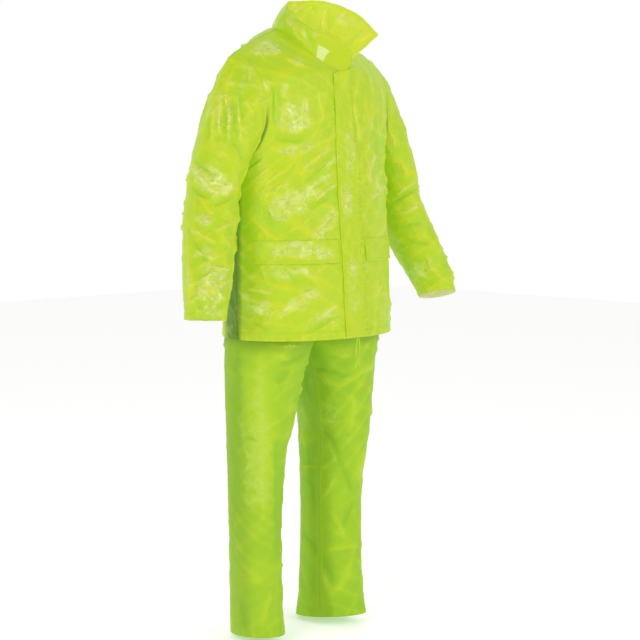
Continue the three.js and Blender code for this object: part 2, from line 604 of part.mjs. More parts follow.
const legColumns = 24;
const inseamTrim = 0.0004;
const legHeights = legRows.flatMap((row, i) => {
  const rise = i + 1 < legRows.length ? legRows[i + 1].height - row.height : 0;
  return Array.from({ length: row.steps }, (_, k) => row.height + (rise * k) / row.steps);
});
legHeights.push(legRows[legRows.length - 1].height);
for (const [name, side] of [["right_leg", -1], ["left_leg", 1]]) {
  const rowCount = legHeights.length - 1;
  const heightAt = (v) => legHeights[Math.round(v * rowCount)];
  const base = gridOf(rowCount, legColumns, false, (u, v) =>
    legPoint(inseamTrim + u * (1 - 2 * inseamTrim), heightAt(v), side),
  );
  const calm = (u, v) => smoothStep(u / 0.08) * smoothStep((1 - u) / 0.08) * smoothStep(v / 0.05);
  const top = legHeights[rowCount];
  const depth = (u, v) => foldDepth(legFolds, u, heightAt(v) / top, panelSize.leg) * calm(u, v);
  const shaped = moved(base, side, (u, v) => -depth(u, v));
  add(name, wallOf([shaped], side, wall), trouserCloth);
}

// Elastic waistband, a plain ring above both halves.
const waistGrid = gridOf(1, 32, true, (u, v) => {
  const angle = 360 * u * degree;
  const height = legRows[legRows.length - 1].height + seamGap + waist.height * v;
  return new THREE.Vector3(waist.wide * Math.sin(angle), waist.middle - waist.deep * Math.cos(angle), height);
});
add("waistband", wallOf([waistGrid], 1, waist.wall), trouserCloth);

// Hem drawcord: both ends come out under the storm flap, bow apart, meet in a knot and end in short
// tails.
function cordTube(points) {
  const path = new THREE.CatmullRomCurve3(points.map((p) => new THREE.Vector3(...p)));
  const section = new THREE.Shape();
  section.absarc(0, 0, cordDiameter / 2, 0, 2 * Math.PI);
  return new THREE.ExtrudeGeometry(section, {
    steps: 10,
    curveSegments: 4,
    bevelEnabled: false,
    extrudePath: path,
  });
}
// Each route gives the distance from the middle, y and height.
const cordRoute = [
  [2.4, -192, 747.3], [4.2, -192, 735], [6.2, -191, 720], [4.6, -190, 706], [2, -190, 698.6],
];
const tailStart = [[2, -190, 689.4], [4.5, -190, 682]];
const tailEnds = { drawcord_right: [8, -190, 673], drawcord_left: [12, -190, 677] };
for (const [name, side] of [["drawcord_right", -1], ["drawcord_left", 1]]) {
  const placed = (route) => route.map(([away, y, height]) => [cordMiddle + side * away, y, height]);
  add(name, cordTube(placed(cordRoute)), cordCloth);
  add(name + "_tail", cordTube(placed([...tailStart, tailEnds[name]])), cordCloth);
}
const knotShape = new THREE.SphereGeometry(1, 12, 8);
knotShape.scale(knot.wide, knot.deep, knot.tall);
knotShape.translate(cordMiddle, knot.y, knot.height);
add("drawcord_knot", knotShape, cordCloth);

suit.position.z = -neckHeight;
const rainSuit = new THREE.Group();
rainSuit.add(suit);
export default rainSuit;
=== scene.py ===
# Rain suit in bright coated cloth: a jacket over trousers, filled out as worn.
# Lengths in the dictionaries are millimetres, heights are measured up from about the trouser hems,
# and the meshes are in metres with the neck as their origin.
import math

import bpy
import numpy as np
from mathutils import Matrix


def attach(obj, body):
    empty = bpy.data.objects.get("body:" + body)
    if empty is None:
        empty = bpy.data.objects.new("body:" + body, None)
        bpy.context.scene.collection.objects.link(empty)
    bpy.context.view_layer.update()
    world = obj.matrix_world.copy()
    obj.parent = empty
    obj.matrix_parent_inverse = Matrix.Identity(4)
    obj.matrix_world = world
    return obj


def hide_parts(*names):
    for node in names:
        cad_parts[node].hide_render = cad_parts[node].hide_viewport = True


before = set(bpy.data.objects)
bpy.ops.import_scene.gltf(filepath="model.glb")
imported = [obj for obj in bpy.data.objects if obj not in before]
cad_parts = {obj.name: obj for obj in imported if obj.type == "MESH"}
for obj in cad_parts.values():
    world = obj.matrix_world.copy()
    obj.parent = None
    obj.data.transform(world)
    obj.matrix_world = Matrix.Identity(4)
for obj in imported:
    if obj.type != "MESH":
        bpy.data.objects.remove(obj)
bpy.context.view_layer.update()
neckHeight = 1503
mm = 0.001

# the camera stands off the wearer's right front corner, a little above the middle of the suit
photoView = {
    "turn": -45, "distance": 4200, "height": 1180, "tilt": 5.46, "sideStep": 45,
    "focal": 1667, "frame": 640, "sensor": 36, "farthest": 60,
}


def inMetres(points):
    # from millimetres above the hems to metres from the neck
    return (points - np.array([0, 0, neckHeight])) * mm


def viewAxes():
    # the view's directions to the right, level ahead and ahead, and its eye: turned about z, then tilted down
    turn, tilt = math.radians(photoView["turn"]), math.radians(photoView["tilt"])
    right = np.array([math.cos(turn), math.sin(turn), 0.0])
    level = np.array([-math.sin(turn), math.cos(turn), 0.0])
    up = np.array([0.0, 0.0, 1.0])
    ahead = level * math.cos(tilt) - up * math.sin(tilt)
    eye = right * photoView["sideStep"] - level * photoView["distance"] + up * photoView["height"]
    return right, level, ahead, eye


def pictureOf(points):
    # perspective: offset from the eye along right and up, over the offset ahead, times the focal length
    right, _, ahead, eye = viewAxes()
    away = points - eye
    deep = away @ ahead
    half = photoView["frame"] / 2
    across = half + photoView["focal"] * (away @ right) / deep
    down = half - photoView["focal"] * (away @ np.cross(right, ahead)) / deep
    return across, down


def addCamera():
    # lens = focal length over frame width, times the sensor's width
    data = bpy.data.cameras.new("viewCamera")
    data.sensor_width = photoView["sensor"]
    data.lens = photoView["focal"] / photoView["frame"] * photoView["sensor"]
    data.clip_end = photoView["farthest"]
    camera = bpy.data.objects.new("viewCamera", data)
    camera.location = inMetres(viewAxes()[3])
    camera.rotation_euler = (math.radians(90 - photoView["tilt"]), 0, math.radians(photoView["turn"]))
    bpy.context.scene.collection.objects.link(camera)
    bpy.context.scene.camera = camera


addCamera()
print("camera placed")


def softStep(t):
    # 3t^2 - 2t^3 between 0 and 1
    t = np.clip(t, 0, 1)
    return t * t * (3 - 2 * t)


def hermite(start, leave, end, arrive, t):
    # cubic from start to end that leaves and arrives along the two given vectors
    return ((2 * t**3 - 3 * t**2 + 1) * start + (t**3 - 2 * t**2 + t) * leave
            + (3 * t**2 - 2 * t**3) * end + (t**3 - t**2) * arrive)


def throughRows(keys, values, at, corners=()):
    # smooth curve through the rows of a table; at a corner row each side takes its own slope
    keys = np.asarray(keys, float)
    values = np.asarray(values, float).reshape(len(keys), -1)
    at = np.asarray(at, float)
    i = np.clip(np.searchsorted(keys, at, side="left") - 1, 0, len(keys) - 2)
    sharp = np.isin(np.arange(len(keys)), list(corners))
    before = np.where(sharp[i], i, np.maximum(i - 1, 0))
    after = np.where(sharp[i + 1], i + 1, np.minimum(i + 2, len(keys) - 1))
    span = (keys[i + 1] - keys[i])[..., None]
    t = np.clip((at - keys[i])[..., None] / span, 0, 1)
    leave = (values[i + 1] - values[before]) / (keys[i + 1] - keys[before])[..., None] * span
    arrive = (values[after] - values[i]) / (keys[after] - keys[i])[..., None] * span
    return hermite(values[i], leave, values[i + 1], arrive, t)


def unit(vectors):
    # each vector over its length
    return vectors / np.maximum(np.linalg.norm(vectors, axis=-1, keepdims=True), 1e-9)


def facing(grid, outward=1, ring=False):
    # surface normal: the step across crossed with the step along
    if ring:
        across = np.roll(grid, -1, 1) - np.roll(grid, 1, 1)
    else:
        across = np.gradient(grid, axis=1)
    return unit(np.cross(across, np.gradient(grid, axis=0))) * outward


def onSurface(grid, u, v):
    # point of a grid between its corners, u across and v along, both from 0 to 1
    rows, columns = grid.shape[0] - 1, grid.shape[1] - 1
    y, x = np.clip(v, 0, 1) * rows, np.clip(u, 0, 1) * columns
    i, j = np.minimum(y.astype(int), rows - 1), np.minimum(x.astype(int), columns - 1)
    fy, fx = (y - i)[..., None], (x - j)[..., None]
    low = grid[i, j] * (1 - fx) + grid[i, j + 1] * fx
    high = grid[i + 1, j] * (1 - fx) + grid[i + 1, j + 1] * fx
    return low * (1 - fy) + high * fy


def addMesh(name, points, faces, materials, kinds=None, uv=None, flat=None, marks=None):
    # one object from whole arrays of points, four-cornered faces, maps and marks
    mesh = bpy.data.meshes.new(name)
    mesh.vertices.add(len(points))
    mesh.vertices.foreach_set("co", inMetres(points).astype(np.float32).ravel())
    mesh.loops.add(faces.size)
    mesh.loops.foreach_set("vertex_index", faces.astype(np.int32).ravel())
    mesh.polygons.add(len(faces))
    mesh.polygons.foreach_set("loop_start", np.arange(0, faces.size, faces.shape[1], dtype=np.int32))
    mesh.update(calc_edges=True)
    smooth = np.ones(len(faces), bool) if flat is None else ~flat
    mesh.polygons.foreach_set("use_smooth", smooth)
    for material in materials:
        mesh.materials.append(material)
    if kinds is not None:
        mesh.polygons.foreach_set("material_index", kinds.astype(np.int32))
    if uv is not None:
        layer = mesh.uv_layers.new(name="cut")
        layer.data.foreach_set("uv", uv[faces.ravel()].astype(np.float32).ravel())
    for key, values in (marks or {}).items():
        mesh.attributes.new(key, "FLOAT", "POINT").data.foreach_set("value", values.astype(np.float32))
    mesh.validate()
    piece = bpy.data.objects.new(name, mesh)
    bpy.context.scene.collection.objects.link(piece)
    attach(piece, "root")
    return piece


def addShell(name, grid, outward, wall, materials, ring=False, size=(1, 1), marks=None, slit=None):
    # a cloth wall: the grid, the same grid moved in by the wall along its normals, and a rim round the open
    # edges; a slit leaves out the cells of one column from a row upwards
    rows, columns = grid.shape[:2]
    inner = grid - facing(grid, outward, ring) * wall
    points = np.concatenate([grid.reshape(-1, 3), inner.reshape(-1, 3)])
    index = np.arange(rows * columns).reshape(rows, columns)
    if ring:
        index = np.concatenate([index, index[:, :1]], 1)
    a, b, c, d = index[:-1, :-1], index[:-1, 1:], index[1:, 1:], index[1:, :-1]
    cells = np.stack([a, b, c, d], -1)
    count = rows * columns
    rims = [(index[0, 1:], index[0, :-1]), (index[-1, :-1], index[-1, 1:])]
    kept = np.ones(cells.shape[:2], bool)
    if slit:
        row, column = slit
        kept[row:, column] = False
        rims[1] = tuple(np.delete(ends, column) for ends in rims[1])
        low, high = index[row:-1], index[row + 1:]
        rims += [(high[:, column], low[:, column]), (low[:, column + 1], high[:, column + 1]),
                 (low[0, column:column + 1], low[0, column + 1:column + 2])]
    outer = cells[kept]
    if not ring:
        rims += [(index[:-1, 0], index[1:, 0]), (index[1:, -1], index[:-1, -1])]
    rim = np.concatenate([np.stack([p, q, q + count, p + count], -1) for p, q in rims])
    faces = np.concatenate([outer, outer[:, ::-1] + count, rim])
    if outward < 0:
        faces = faces[:, ::-1]
    kinds = np.concatenate([np.zeros(len(outer)), np.ones(len(outer)), np.zeros(len(rim))])
    if len(materials) == 1:
        kinds = None
    u, v = np.meshgrid(np.linspace(0, size[0], columns) * mm, np.linspace(0, size[1], rows) * mm)
    uv = np.tile(np.stack([u.ravel(), v.ravel()], -1), (2, 1))
    flat = np.arange(len(faces)) >= 2 * len(outer)
    marks = {key: np.tile(values.ravel(), 2) for key, values in (marks or {}).items()}
    return addMesh(name, points, faces, materials, kinds, uv, flat, marks)


def alongPath(path, radius, sides):
    # a round section carried along a path: path + radius * (cos a * side + sin a * up), with rounded ends
    steps = np.linalg.norm(np.diff(path, axis=0), axis=1)
    run = np.concatenate([[0], np.cumsum(steps)])
    fromEnd = np.minimum(run, run[-1] - run)
    swell = np.sqrt(1 - (1 - np.clip(fromEnd / radius, 0, 1)) ** 2) * radius
    ahead = unit(np.gradient(path, axis=0))
    side = unit(np.cross(ahead, np.array([0.0, 1.0, 0.02])))
    up = np.cross(side, ahead)
    angle = np.linspace(0, 2 * np.pi, sides, endpoint=False)[None, :, None]
    ring = np.cos(angle) * side[:, None] + np.sin(angle) * up[:, None]
    return path[:, None] + np.maximum(swell, 0.02)[:, None, None] * ring, run


def addTube(name, path, radius, sides, materials):
    # the section's points joined row to row, and each end filled by strips across it
    grid, run = alongPath(path, radius, sides)
    index = np.arange(len(path) * sides).reshape(len(path), sides)
    wrapped = np.concatenate([index, index[:, :1]], 1)
    wall = np.stack([wrapped[:-1, :-1], wrapped[1:, :-1], wrapped[1:, 1:], wrapped[:-1, 1:]], -1)
    near = np.arange(sides // 2 - 1)
    strip = [near, near + 1, sides - 2 - near, sides - 1 - near]
    first = np.stack([index[0, corner] for corner in strip], -1)
    last = np.stack([index[-1, corner] for corner in [strip[0], strip[3], strip[2], strip[1]]], -1)
    faces = np.concatenate([wall.reshape(-1, 4), first, last])
    turn, along = np.meshgrid(np.linspace(0, 1, sides, endpoint=False), run * mm, indexing="xy")
    uv = np.stack([turn.ravel(), along.ravel()], -1)
    return addMesh(name, grid.reshape(-1, 3), faces, materials, uv=uv)


class Value:
    # a node's output that can be used in sums with numbers and other outputs
    def __init__(self, web, socket):
        self.web, self.socket = web, socket

    def maths(self, operation, first, second):
        return self.web.node("ShaderNodeMath", {"operation": operation}, {0: first, 1: second})

    def __add__(self, other):
        return self.maths("ADD", self, other)

    def __radd__(self, other):
        return self.maths("ADD", other, self)

    def __sub__(self, other):
        return self.maths("SUBTRACT", self, other)

    def __rsub__(self, other):
        return self.maths("SUBTRACT", other, self)

    def __mul__(self, other):
        return self.maths("MULTIPLY", self, other)

    def __rmul__(self, other):
        return self.maths("MULTIPLY", other, self)

    def __truediv__(self, other):
        return self.maths("DIVIDE", self, other)

    def __pow__(self, other):
        return self.maths("POWER", self, other)


class Web:
    # the nodes of a material or of the world
    def __init__(self, owner):
        owner.use_nodes = True
        self.owner, self.tree = owner, owner.node_tree
        self.tree.nodes.clear()

    def node(self, kind, settings=None, inputs=None, output=0):
        # a node with its settings, then its inputs as links or values
        made = self.tree.nodes.new(kind)
        for key, value in (settings or {}).items():
            setattr(made, key, value)
        for key, value in (inputs or {}).items():
            if isinstance(value, Value):
                self.tree.links.new(value.socket, made.inputs[key])
            else:
                made.inputs[key].default_value = value
        return Value(self, made.outputs[output]) if len(made.outputs) else None

    def noise(self, scale, detail=2.0, rough=0.5, warp=0.0):
        # soft noise on the object's own coordinates
        place = self.node("ShaderNodeTexCoord", output="Object")
        return self.node("ShaderNodeTexNoise", {}, {"Vector": place, "Scale": scale, "Detail": detail,
                                                    "Roughness": rough, "Distortion": warp})

    def ramp(self, value, low, high):
        # smooth step from 0 at low to 1 at high
        return self.node("ShaderNodeMapRange", {"interpolation_type": "SMOOTHSTEP"},
                         {"Value": value, "From Min": low, "From Max": high})

    def mark(self, name):
        # one of the numbers stored on a mesh's points
        return self.node("ShaderNodeAttribute", {"attribute_name": name}, output="Fac")

    def mix(self, factor, first, second):
        # first colour at factor 0, second at 1
        colours = [value if isinstance(value, Value) else (*value, 1) for value in (first, second)]
        return self.node("ShaderNodeMix", {"data_type": "RGBA"}, {0: factor, 6: colours[0], 7: colours[1]}, 2)

    def bump(self, height, strength, distance, under=None):
        # a normal from a height, over another normal if there is one
        inputs = {"Height": height, "Strength": strength, "Distance": distance}
        if under is not None:
            inputs["Normal"] = under
        return self.node("ShaderNodeBump", {}, inputs)

    def surface(self, inputs):
        # the material's shader and output
        shader = self.node("ShaderNodeBsdfPrincipled", {}, inputs)
        self.node("ShaderNodeOutputMaterial", {}, {"Surface": shader})
        return self.owner


def newFinish(name):
    return Web(bpy.data.materials.new(name))


def dimmed(colour, share):
    # a colour times a share
    return tuple(share * c for c in colour)


def coatedCloth(name, dyeAndPaintedLight, paintedGlow, gloss):
    # fluorescent cloth with a clear coating: a constant painted green glow lifts its shade, so its shade is
    # greener than its lit side; the coating shines in the patches of the gloss mark, broken up by noise,
    # where a paler painted sheen is also mixed into the colour; the fold mark paints shade into troughs and
    # light onto crests, and the shade mark paints shade
    web = newFinish(name)
    fold, patch, shade = web.mark("fold"), web.mark("gloss"), web.mark("shade")
    place = web.node("ShaderNodeTexCoord", output="Object")
    crinkle = web.node("ShaderNodeTexNoise", {"noise_type": "RIDGED_MULTIFRACTAL"},
                       {"Vector": place, "Scale": gloss["crinkle"], "Detail": 2.5, "Roughness": 0.5,
                        "Lacunarity": 2.1, "Offset": 0.9, "Gain": 1.6})
    broad = web.ramp(patch + (web.noise(12.0, 5.0, 0.75) - 0.5) * 2.6 + fold * 0.14, 0.15, 0.85)
    flecks = web.ramp(web.noise(38.0, 4.0, 0.62, 1.4), 0.44, 0.56)
    ragged = broad * (flecks * 0.62 + 0.38)
    # painted shade and light: the trough colour in the folds' troughs, the crest colour on their crests
    paintedFoldShade = web.mix(web.ramp(fold, -2.4, 2.4), dyeAndPaintedLight["trough"], dyeAndPaintedLight["crest"])
    # painted shade where the shade mark is, and a paler painted sheen mixed in over the gloss patches
    tone = web.mix(ragged * 0.8, web.mix(shade, paintedFoldShade, dimmed(dyeAndPaintedLight["trough"], 0.25)), dyeAndPaintedLight["paintedSheen"])
    cut = web.node("ShaderNodeTexCoord", output="UV")
    threads = {"Vector": cut, "Scale": 210.0, "Distortion": 0.4}
    warpThreads, weftThreads = [web.node("ShaderNodeTexWave", {"bands_direction": way}, threads)
                                for way in ("X", "Y")]
    soft = web.bump(web.noise(24.0, 3.0, 0.55), gloss["crumple"], 0.004)
    crisp = web.bump(crinkle * (ragged * 0.65 + 0.35), gloss["crisp"], 0.0035, soft)
    # the emission is a painted glow, dimmed where the shade mark paints shade
    return web.surface({
        "Base Color": tone,
        "Roughness": web.noise(9.0, 3.0) * 0.16 + gloss["rough"] - ragged * 0.12,
        "Normal": web.bump(warpThreads + weftThreads, 0.02, 0.0006, crisp),
        "Specular IOR Level": gloss["shine"],
        "Coat Weight": ragged * gloss["coat"],
        "Coat Roughness": gloss["blur"],
        "Emission Color": web.mix(shade, paintedGlow, dimmed(paintedGlow, 0.62)),
        "Emission Strength": 1.0,
    })


# in each look, the trough and crest colours are painted fold shade and light, the paler third colour a
# painted sheen, and the glow colour a painted glow that lifts the shade and tints it green
jacketLook = {
    "dyeAndPaintedLight": {"trough": (0.33, 0.37, 0.011), "crest": (0.48, 0.41, 0.011), "paintedSheen": (0.55, 0.47, 0.15)},
    "paintedGlow": (0.07, 0.24, 0.003),
    "gloss": {"rough": 0.36, "shine": 0.3, "coat": 0.8, "blur": 0.24,
              "crinkle": 30.0, "crumple": 0.6, "crisp": 1.0},
}
trouserLook = {
    "dyeAndPaintedLight": {"trough": (0.20, 0.29, 0.012), "crest": (0.33, 0.38, 0.014), "paintedSheen": (0.36, 0.40, 0.05)},
    "paintedGlow": (0.085, 0.23, 0.004),
    "gloss": {"rough": 0.5, "shine": 0.25, "coat": 0.25, "blur": 0.3,
              "crinkle": 18.0, "crumple": 0.4, "crisp": 0.5},
}
jacketCloth = coatedCloth("jacketCloth", **jacketLook)
# the collar's cloth has a stronger painted glow, so that it looks lit
collarInside = coatedCloth("collarInside", jacketLook["dyeAndPaintedLight"], (0.26, 0.36, 0.03), jacketLook["gloss"])
trouserCloth = coatedCloth("trouserCloth", **trouserLook)


def plainFinish(name, colour, rough, grain, strength, paintedGlow):
    # a thin woven back, tape or thread: fine grain in colour and height, and a painted glow as its emission
    web = newFinish(name)
    speck = web.noise(grain, 3.0)
    tone = web.mix(speck * 0.35, colour, dimmed(colour, 0.8))
    return web.surface({"Base Color": tone, "Roughness": rough, "Normal": web.bump(speck, strength, 0.0005),
                        "Emission Color": (*paintedGlow, 1), "Emission Strength": 1.0})


# the backs of the cloth have a painted glow, stronger than the face's, so that the insides seen through the
# openings look lit
clothBack = plainFinish("clothBack", (0.42, 0.42, 0.03), 0.6, 900.0, 0.3, (0.33, 0.42, 0.03))
sleeveBack = plainFinish("sleeveBack", (0.74, 0.72, 0.42), 0.7, 900.0, 0.3, (0.08, 0.1, 0.02))
# the zip's tape and teeth and the thread have a painted green glow as well
zipTape = plainFinish("zipTape", (0.36, 0.40, 0.02), 0.85, 1400.0, 0.4, (0.05, 0.16, 0.002))
zipTeeth = plainFinish("zipTeeth", (0.38, 0.42, 0.02), 0.35, 400.0, 0.1, (0.05, 0.16, 0.002))
seamThread = plainFinish("seamThread", (0.42, 0.42, 0.02), 0.6, 1500.0, 0.3, (0.07, 0.22, 0.002))


def braidedCord():
    # two sets of strands that cross round the cord, from the turn and the length in the cord's own map; the
    # gaps between strands are painted darker and greener as painted shade, and the cord has a painted green
    # glow
    web = newFinish("braidedCord")
    cut = web.node("ShaderNodeTexCoord", output="UV")
    turn, along = [web.node("ShaderNodeSeparateXYZ", {}, {"Vector": cut}, axis) for axis in ("X", "Y")]
    oneWay, otherWay = [web.node("ShaderNodeMath", {"operation": "SINE"}, {0: turn * 25.13 + along * pitch})
                        for pitch in (2600.0, -2600.0)]
    strand = web.node("ShaderNodeMath", {"operation": "MAXIMUM"}, {0: oneWay, 1: otherWay})
    tone = web.mix(strand * 0.25 + 0.5, (0.28, 0.36, 0.012), (0.46, 0.44, 0.03))
    return web.surface({"Base Color": tone, "Roughness": 0.75, "Normal": web.bump(strand, 0.5, 0.0004),
                        "Emission Color": (0.07, 0.22, 0.003, 1), "Emission Strength": 1.0})


def openMesh():
    # white knitted mesh: round holes on a slanting lattice, cut by the alpha, with a painted glow that keeps
    # it white in the shade
    web = newFinish("openMesh")
    cut = web.node("ShaderNodeTexCoord", output="UV")
    holes = web.node("ShaderNodeTexVoronoi", {"feature": "F1"},
                     {"Vector": cut, "Scale": 290.0, "Randomness": 0.0}, "Distance")
    thread = web.ramp(holes, 0.26, 0.36)
    return web.surface({"Base Color": (0.86, 0.87, 0.8, 1), "Roughness": 0.8, "Alpha": thread,
                        "Normal": web.bump(thread, 0.4, 0.0004),
                        "Emission Color": (0.3, 0.31, 0.25, 1), "Emission Strength": 1.0})


cordCloth = braidedCord()
liningMesh = openMesh()
print("finishes made")

# both ends leave the hem under the storm flap, bow apart, meet in a knot and end in short tails
drawcord = {
    "middle": 4, "diameter": 3.2, "sides": 16, "steps": 90,
    # away from the middle, front to back, height; the tail's last point differs from side to side
    "route": [(2.4, -192, 747.3), (4.2, -192, 735), (6.2, -191, 720), (4.6, -190, 706), (2, -190, 698.6),
              (1.7, -190, 694), (2, -190, 689.4), (4.5, -190, 682)],
    "tails": {"right": (8, -190, 673), "left": (12, -190, 677)},
    "knot": {"wide": 3.5, "deep": 2.4, "foot": 692.6, "rise": 2.8, "sway": 0.9, "radius": 1.55,
             "turns": 2, "steps": 120, "sides": 12},
}


def addCords(knot):
    # a smooth curve through each end's points, as a tube
    for name, side in (("right", -1), ("left", 1)):
        route = np.array(drawcord["route"] + [drawcord["tails"][name]], float)
        route[:, 0] = drawcord["middle"] + side * route[:, 0]
        run = np.concatenate([[0], np.cumsum(np.linalg.norm(np.diff(route, axis=0), axis=1))])
        path = throughRows(run, route, np.linspace(0, run[-1], drawcord["steps"]))
        cord = addTube(f"hem_cord_{name}", path, drawcord["diameter"] / 2, drawcord["sides"], [cordCloth])
        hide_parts(f"drawcord_{name}", f"drawcord_{name}_tail")
        placed = inMetres(path)


def addKnot():
    # a strand wound twice round both cords: a flat loop (wide cos a, deep sin a) that climbs and sways
    knot = drawcord["knot"]
    turn = np.linspace(0, knot["turns"] * 2 * np.pi, knot["steps"])
    height = knot["foot"] + knot["rise"] * turn / turn[-1] + knot["sway"] * np.sin(turn * 0.5 + 0.6)
    loop = np.stack([drawcord["middle"] + knot["wide"] * np.cos(turn),
                     drawcord["tails"]["right"][1] + knot["deep"] * np.sin(turn), height], -1)
    piece = addTube("hem_cord_knot", loop, knot["radius"], knot["sides"], [cordCloth])
    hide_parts("drawcord_knot")
    return piece


addCords(addKnot())
print("cords made")

# The folds that show from the camera, in its 640-pixel frame: from x and y, to x and y, half width, height in
# mm (negative is a trough) and bow. The sides that it doesn't see take the tables mirrored and turned round.
jacketFolds = [
    # shoulder
    (254, 54, 283, 52, 2.2, 3.0, -1), (260, 47.5, 279, 45.5, 1.8, 2.2, -1), (257, 50, 282, 49, 1.6, -2.2, -1),
    (284, 57, 304, 66, 2.0, 1.6, 1), (240, 58, 262, 50, 2.2, 1.8, -1),
    # chest
    (272, 84, 274, 124, 3.0, -4.2, -2), (263, 78, 264, 122, 3.0, 3.2, 1), (279, 82, 289, 87, 1.6, 1.4, 0),
    (281, 95, 289, 99, 1.6, 1.4, 0), (277, 106, 288, 111, 1.8, 1.2, 1), (275, 137, 304, 140, 3.0, -4.4, 2),
    (271, 147, 297, 156, 2.6, 3.4, 2), (296, 156, 312, 150, 2.2, 2.8, -1), (278, 128, 304, 131, 2.4, 2.6, 2),
    (306, 96, 309, 130, 2.6, 1.6, 1), (318, 90, 322, 124, 2.6, 1.4, -1),
    # waist
    (256, 178, 270, 169, 1.8, 2.8, -1), (260, 193, 293, 165, 2.2, 3.4, -2),
    (264, 199, 291, 182, 2.0, 3.0, -2), (299, 176, 332, 147, 2.2, 3.6, -1), (303, 168, 322, 151, 1.8, 2.4, 0),
    (305, 183, 333, 157, 2.0, -3.2, 0), (287, 231, 313, 217, 2.0, 3.0, 2), (312, 236, 339, 211, 2.2, 3.6, -1),
    (316, 202, 336, 184, 2.0, 3.2, -1), (309, 210, 330, 196, 2.2, -3.0, 0),
    (262, 206, 276, 226, 2.6, -2.6, 2), (268, 186, 284, 205, 3.4, 1.6, 0), (296, 190, 300, 222, 3.0, 1.6, 1),
    (245, 168, 262, 158, 2.2, -2.6, 1), (322, 234, 338, 224, 1.8, 2.0, 0), (257, 232, 260, 241, 1.4, 1.4, 0),
    (264, 231, 267, 241, 1.4, 1.4, 0), (281, 232, 286, 240, 1.4, 1.4, 0),
    # skirt of the jacket
    (311, 198, 311, 288, 1.0, -0.9, 0), (248, 287, 274, 294, 2.2, 2.6, 1), (251, 305, 267, 316, 2.2, 2.4, 1),
    (267, 316, 281, 309, 2.0, 2.2, 0), (279, 320, 315, 290, 2.4, 3.4, -2), (312, 277, 327, 265, 2.0, 2.2, 0),
    (305, 334, 342, 315, 2.6, -2.8, 0), (319, 320, 341, 304, 2.2, 2.8, -1),
    (252, 320, 268, 332, 2.4, -2.2, 0), (283, 266, 296, 284, 2.4, -2.0, 0), (296, 262, 318, 284, 2.2, 1.8, 1),
    (258, 262, 268, 282, 2.4, 1.8, 0),
    # storm flap and wearer's left front
    (338, 114, 339, 134, 1.8, 2.2, 0), (354, 103, 361, 141, 2.2, 2.6, 1), (355, 146, 359, 197, 2.4, 2.4, -1),
    (343, 150, 352, 130, 1.8, 1.8, 0), (345, 176, 355, 158, 1.8, 2.0, 0), (344, 214, 354, 196, 2.0, 2.2, 0),
    (350, 282, 360, 261, 2.0, 2.4, 0), (355, 306, 364, 293, 2.0, 2.2, 0), (372, 199, 386, 184, 2.2, 2.6, 0),
    (366, 150, 371, 186, 2.4, 2.2, 1), (375, 130, 380, 168, 2.4, -2.0, 1), (374, 240, 388, 222, 2.4, 2.2, 1),
    (371, 300, 384, 282, 2.4, 2.0, 0), (366, 100, 372, 128, 3.0, 1.6, 1),
]
sleeveFolds = [
    # cap and upper arm of the near sleeve
    (220, 98, 220, 136, 1.8, 2.8, 1), (226, 84, 229, 128, 1.9, 3.0, 1), (236, 67, 226, 85, 1.9, 2.6, 0),
    (249, 65, 250, 80, 1.8, 2.2, 0), (247, 97, 254, 117, 1.8, 2.8, 1), (223.5, 96, 225, 141, 1.6, -2.8, 0),
    (233, 96, 236, 142, 1.9, -3.4, 0), (240, 82, 243, 128, 1.8, -2.8, 1), (238, 100, 241, 144, 1.8, 2.8, 0),
    (230, 130, 244, 160, 2.2, -2.4, 1), (211, 112, 208, 140, 2.4, -2.4, 0), (214, 108, 212, 146, 2.2, 2.4, 0),
    # elbow
    (191, 168, 229, 194, 2.4, 3.8, 2), (193, 160, 220, 176, 2.2, -3.0, 2), (198, 194, 214, 215, 2.0, 3.0, 1),
    (191, 186, 206, 198, 2.2, -2.6, 1), (194, 217, 213, 223, 2.0, 2.8, 1), (191, 228, 217, 243, 2.2, 3.6, 1),
    (214, 206, 236, 196, 2.4, -3.0, 0), (208, 182, 236, 190, 2.2, 2.2, -1), (216, 232, 238, 220, 2.2, 2.6, 0),
    # forearm
    (195, 251, 217, 259, 2.0, 2.4, 0), (205, 265, 231, 270, 2.0, 2.8, 1), (197, 286, 222, 304, 2.2, 3.0, 1),
    (212, 295, 231, 279, 2.0, 2.8, 0), (192, 240, 208, 262, 2.4, -2.8, 0), (202, 276, 216, 268, 2.0, -2.2, 0),
    (190, 296, 206, 314, 2.4, -2.2, 0), (214, 312, 232, 300, 2.0, -2.0, 0), (188, 262, 190, 300, 2.4, 2.0, 0),
    # far sleeve
    (391, 203, 418, 187, 2.4, -3.6, 1), (394, 196, 416, 180, 2.2, 3.0, 1), (400, 160, 408, 178, 2.6, 2.2, 1),
    (394, 214, 420, 206, 2.4, 3.0, 1), (401, 240, 434, 244, 1.8, -2.6, 1), (406, 236, 432, 238, 1.6, 2.2, 0),
    (398, 228, 424, 222, 2.4, -2.4, 0), (402, 250, 414, 284, 2.6, -3.0, 1), (424, 252, 440, 284, 2.8, 2.4, 1),
    (386, 120, 396, 150, 2.8, 2.2, 0), (412, 262, 428, 288, 2.4, 1.8, 0), (380, 92, 392, 124, 3.0, -1.8, 0),
]
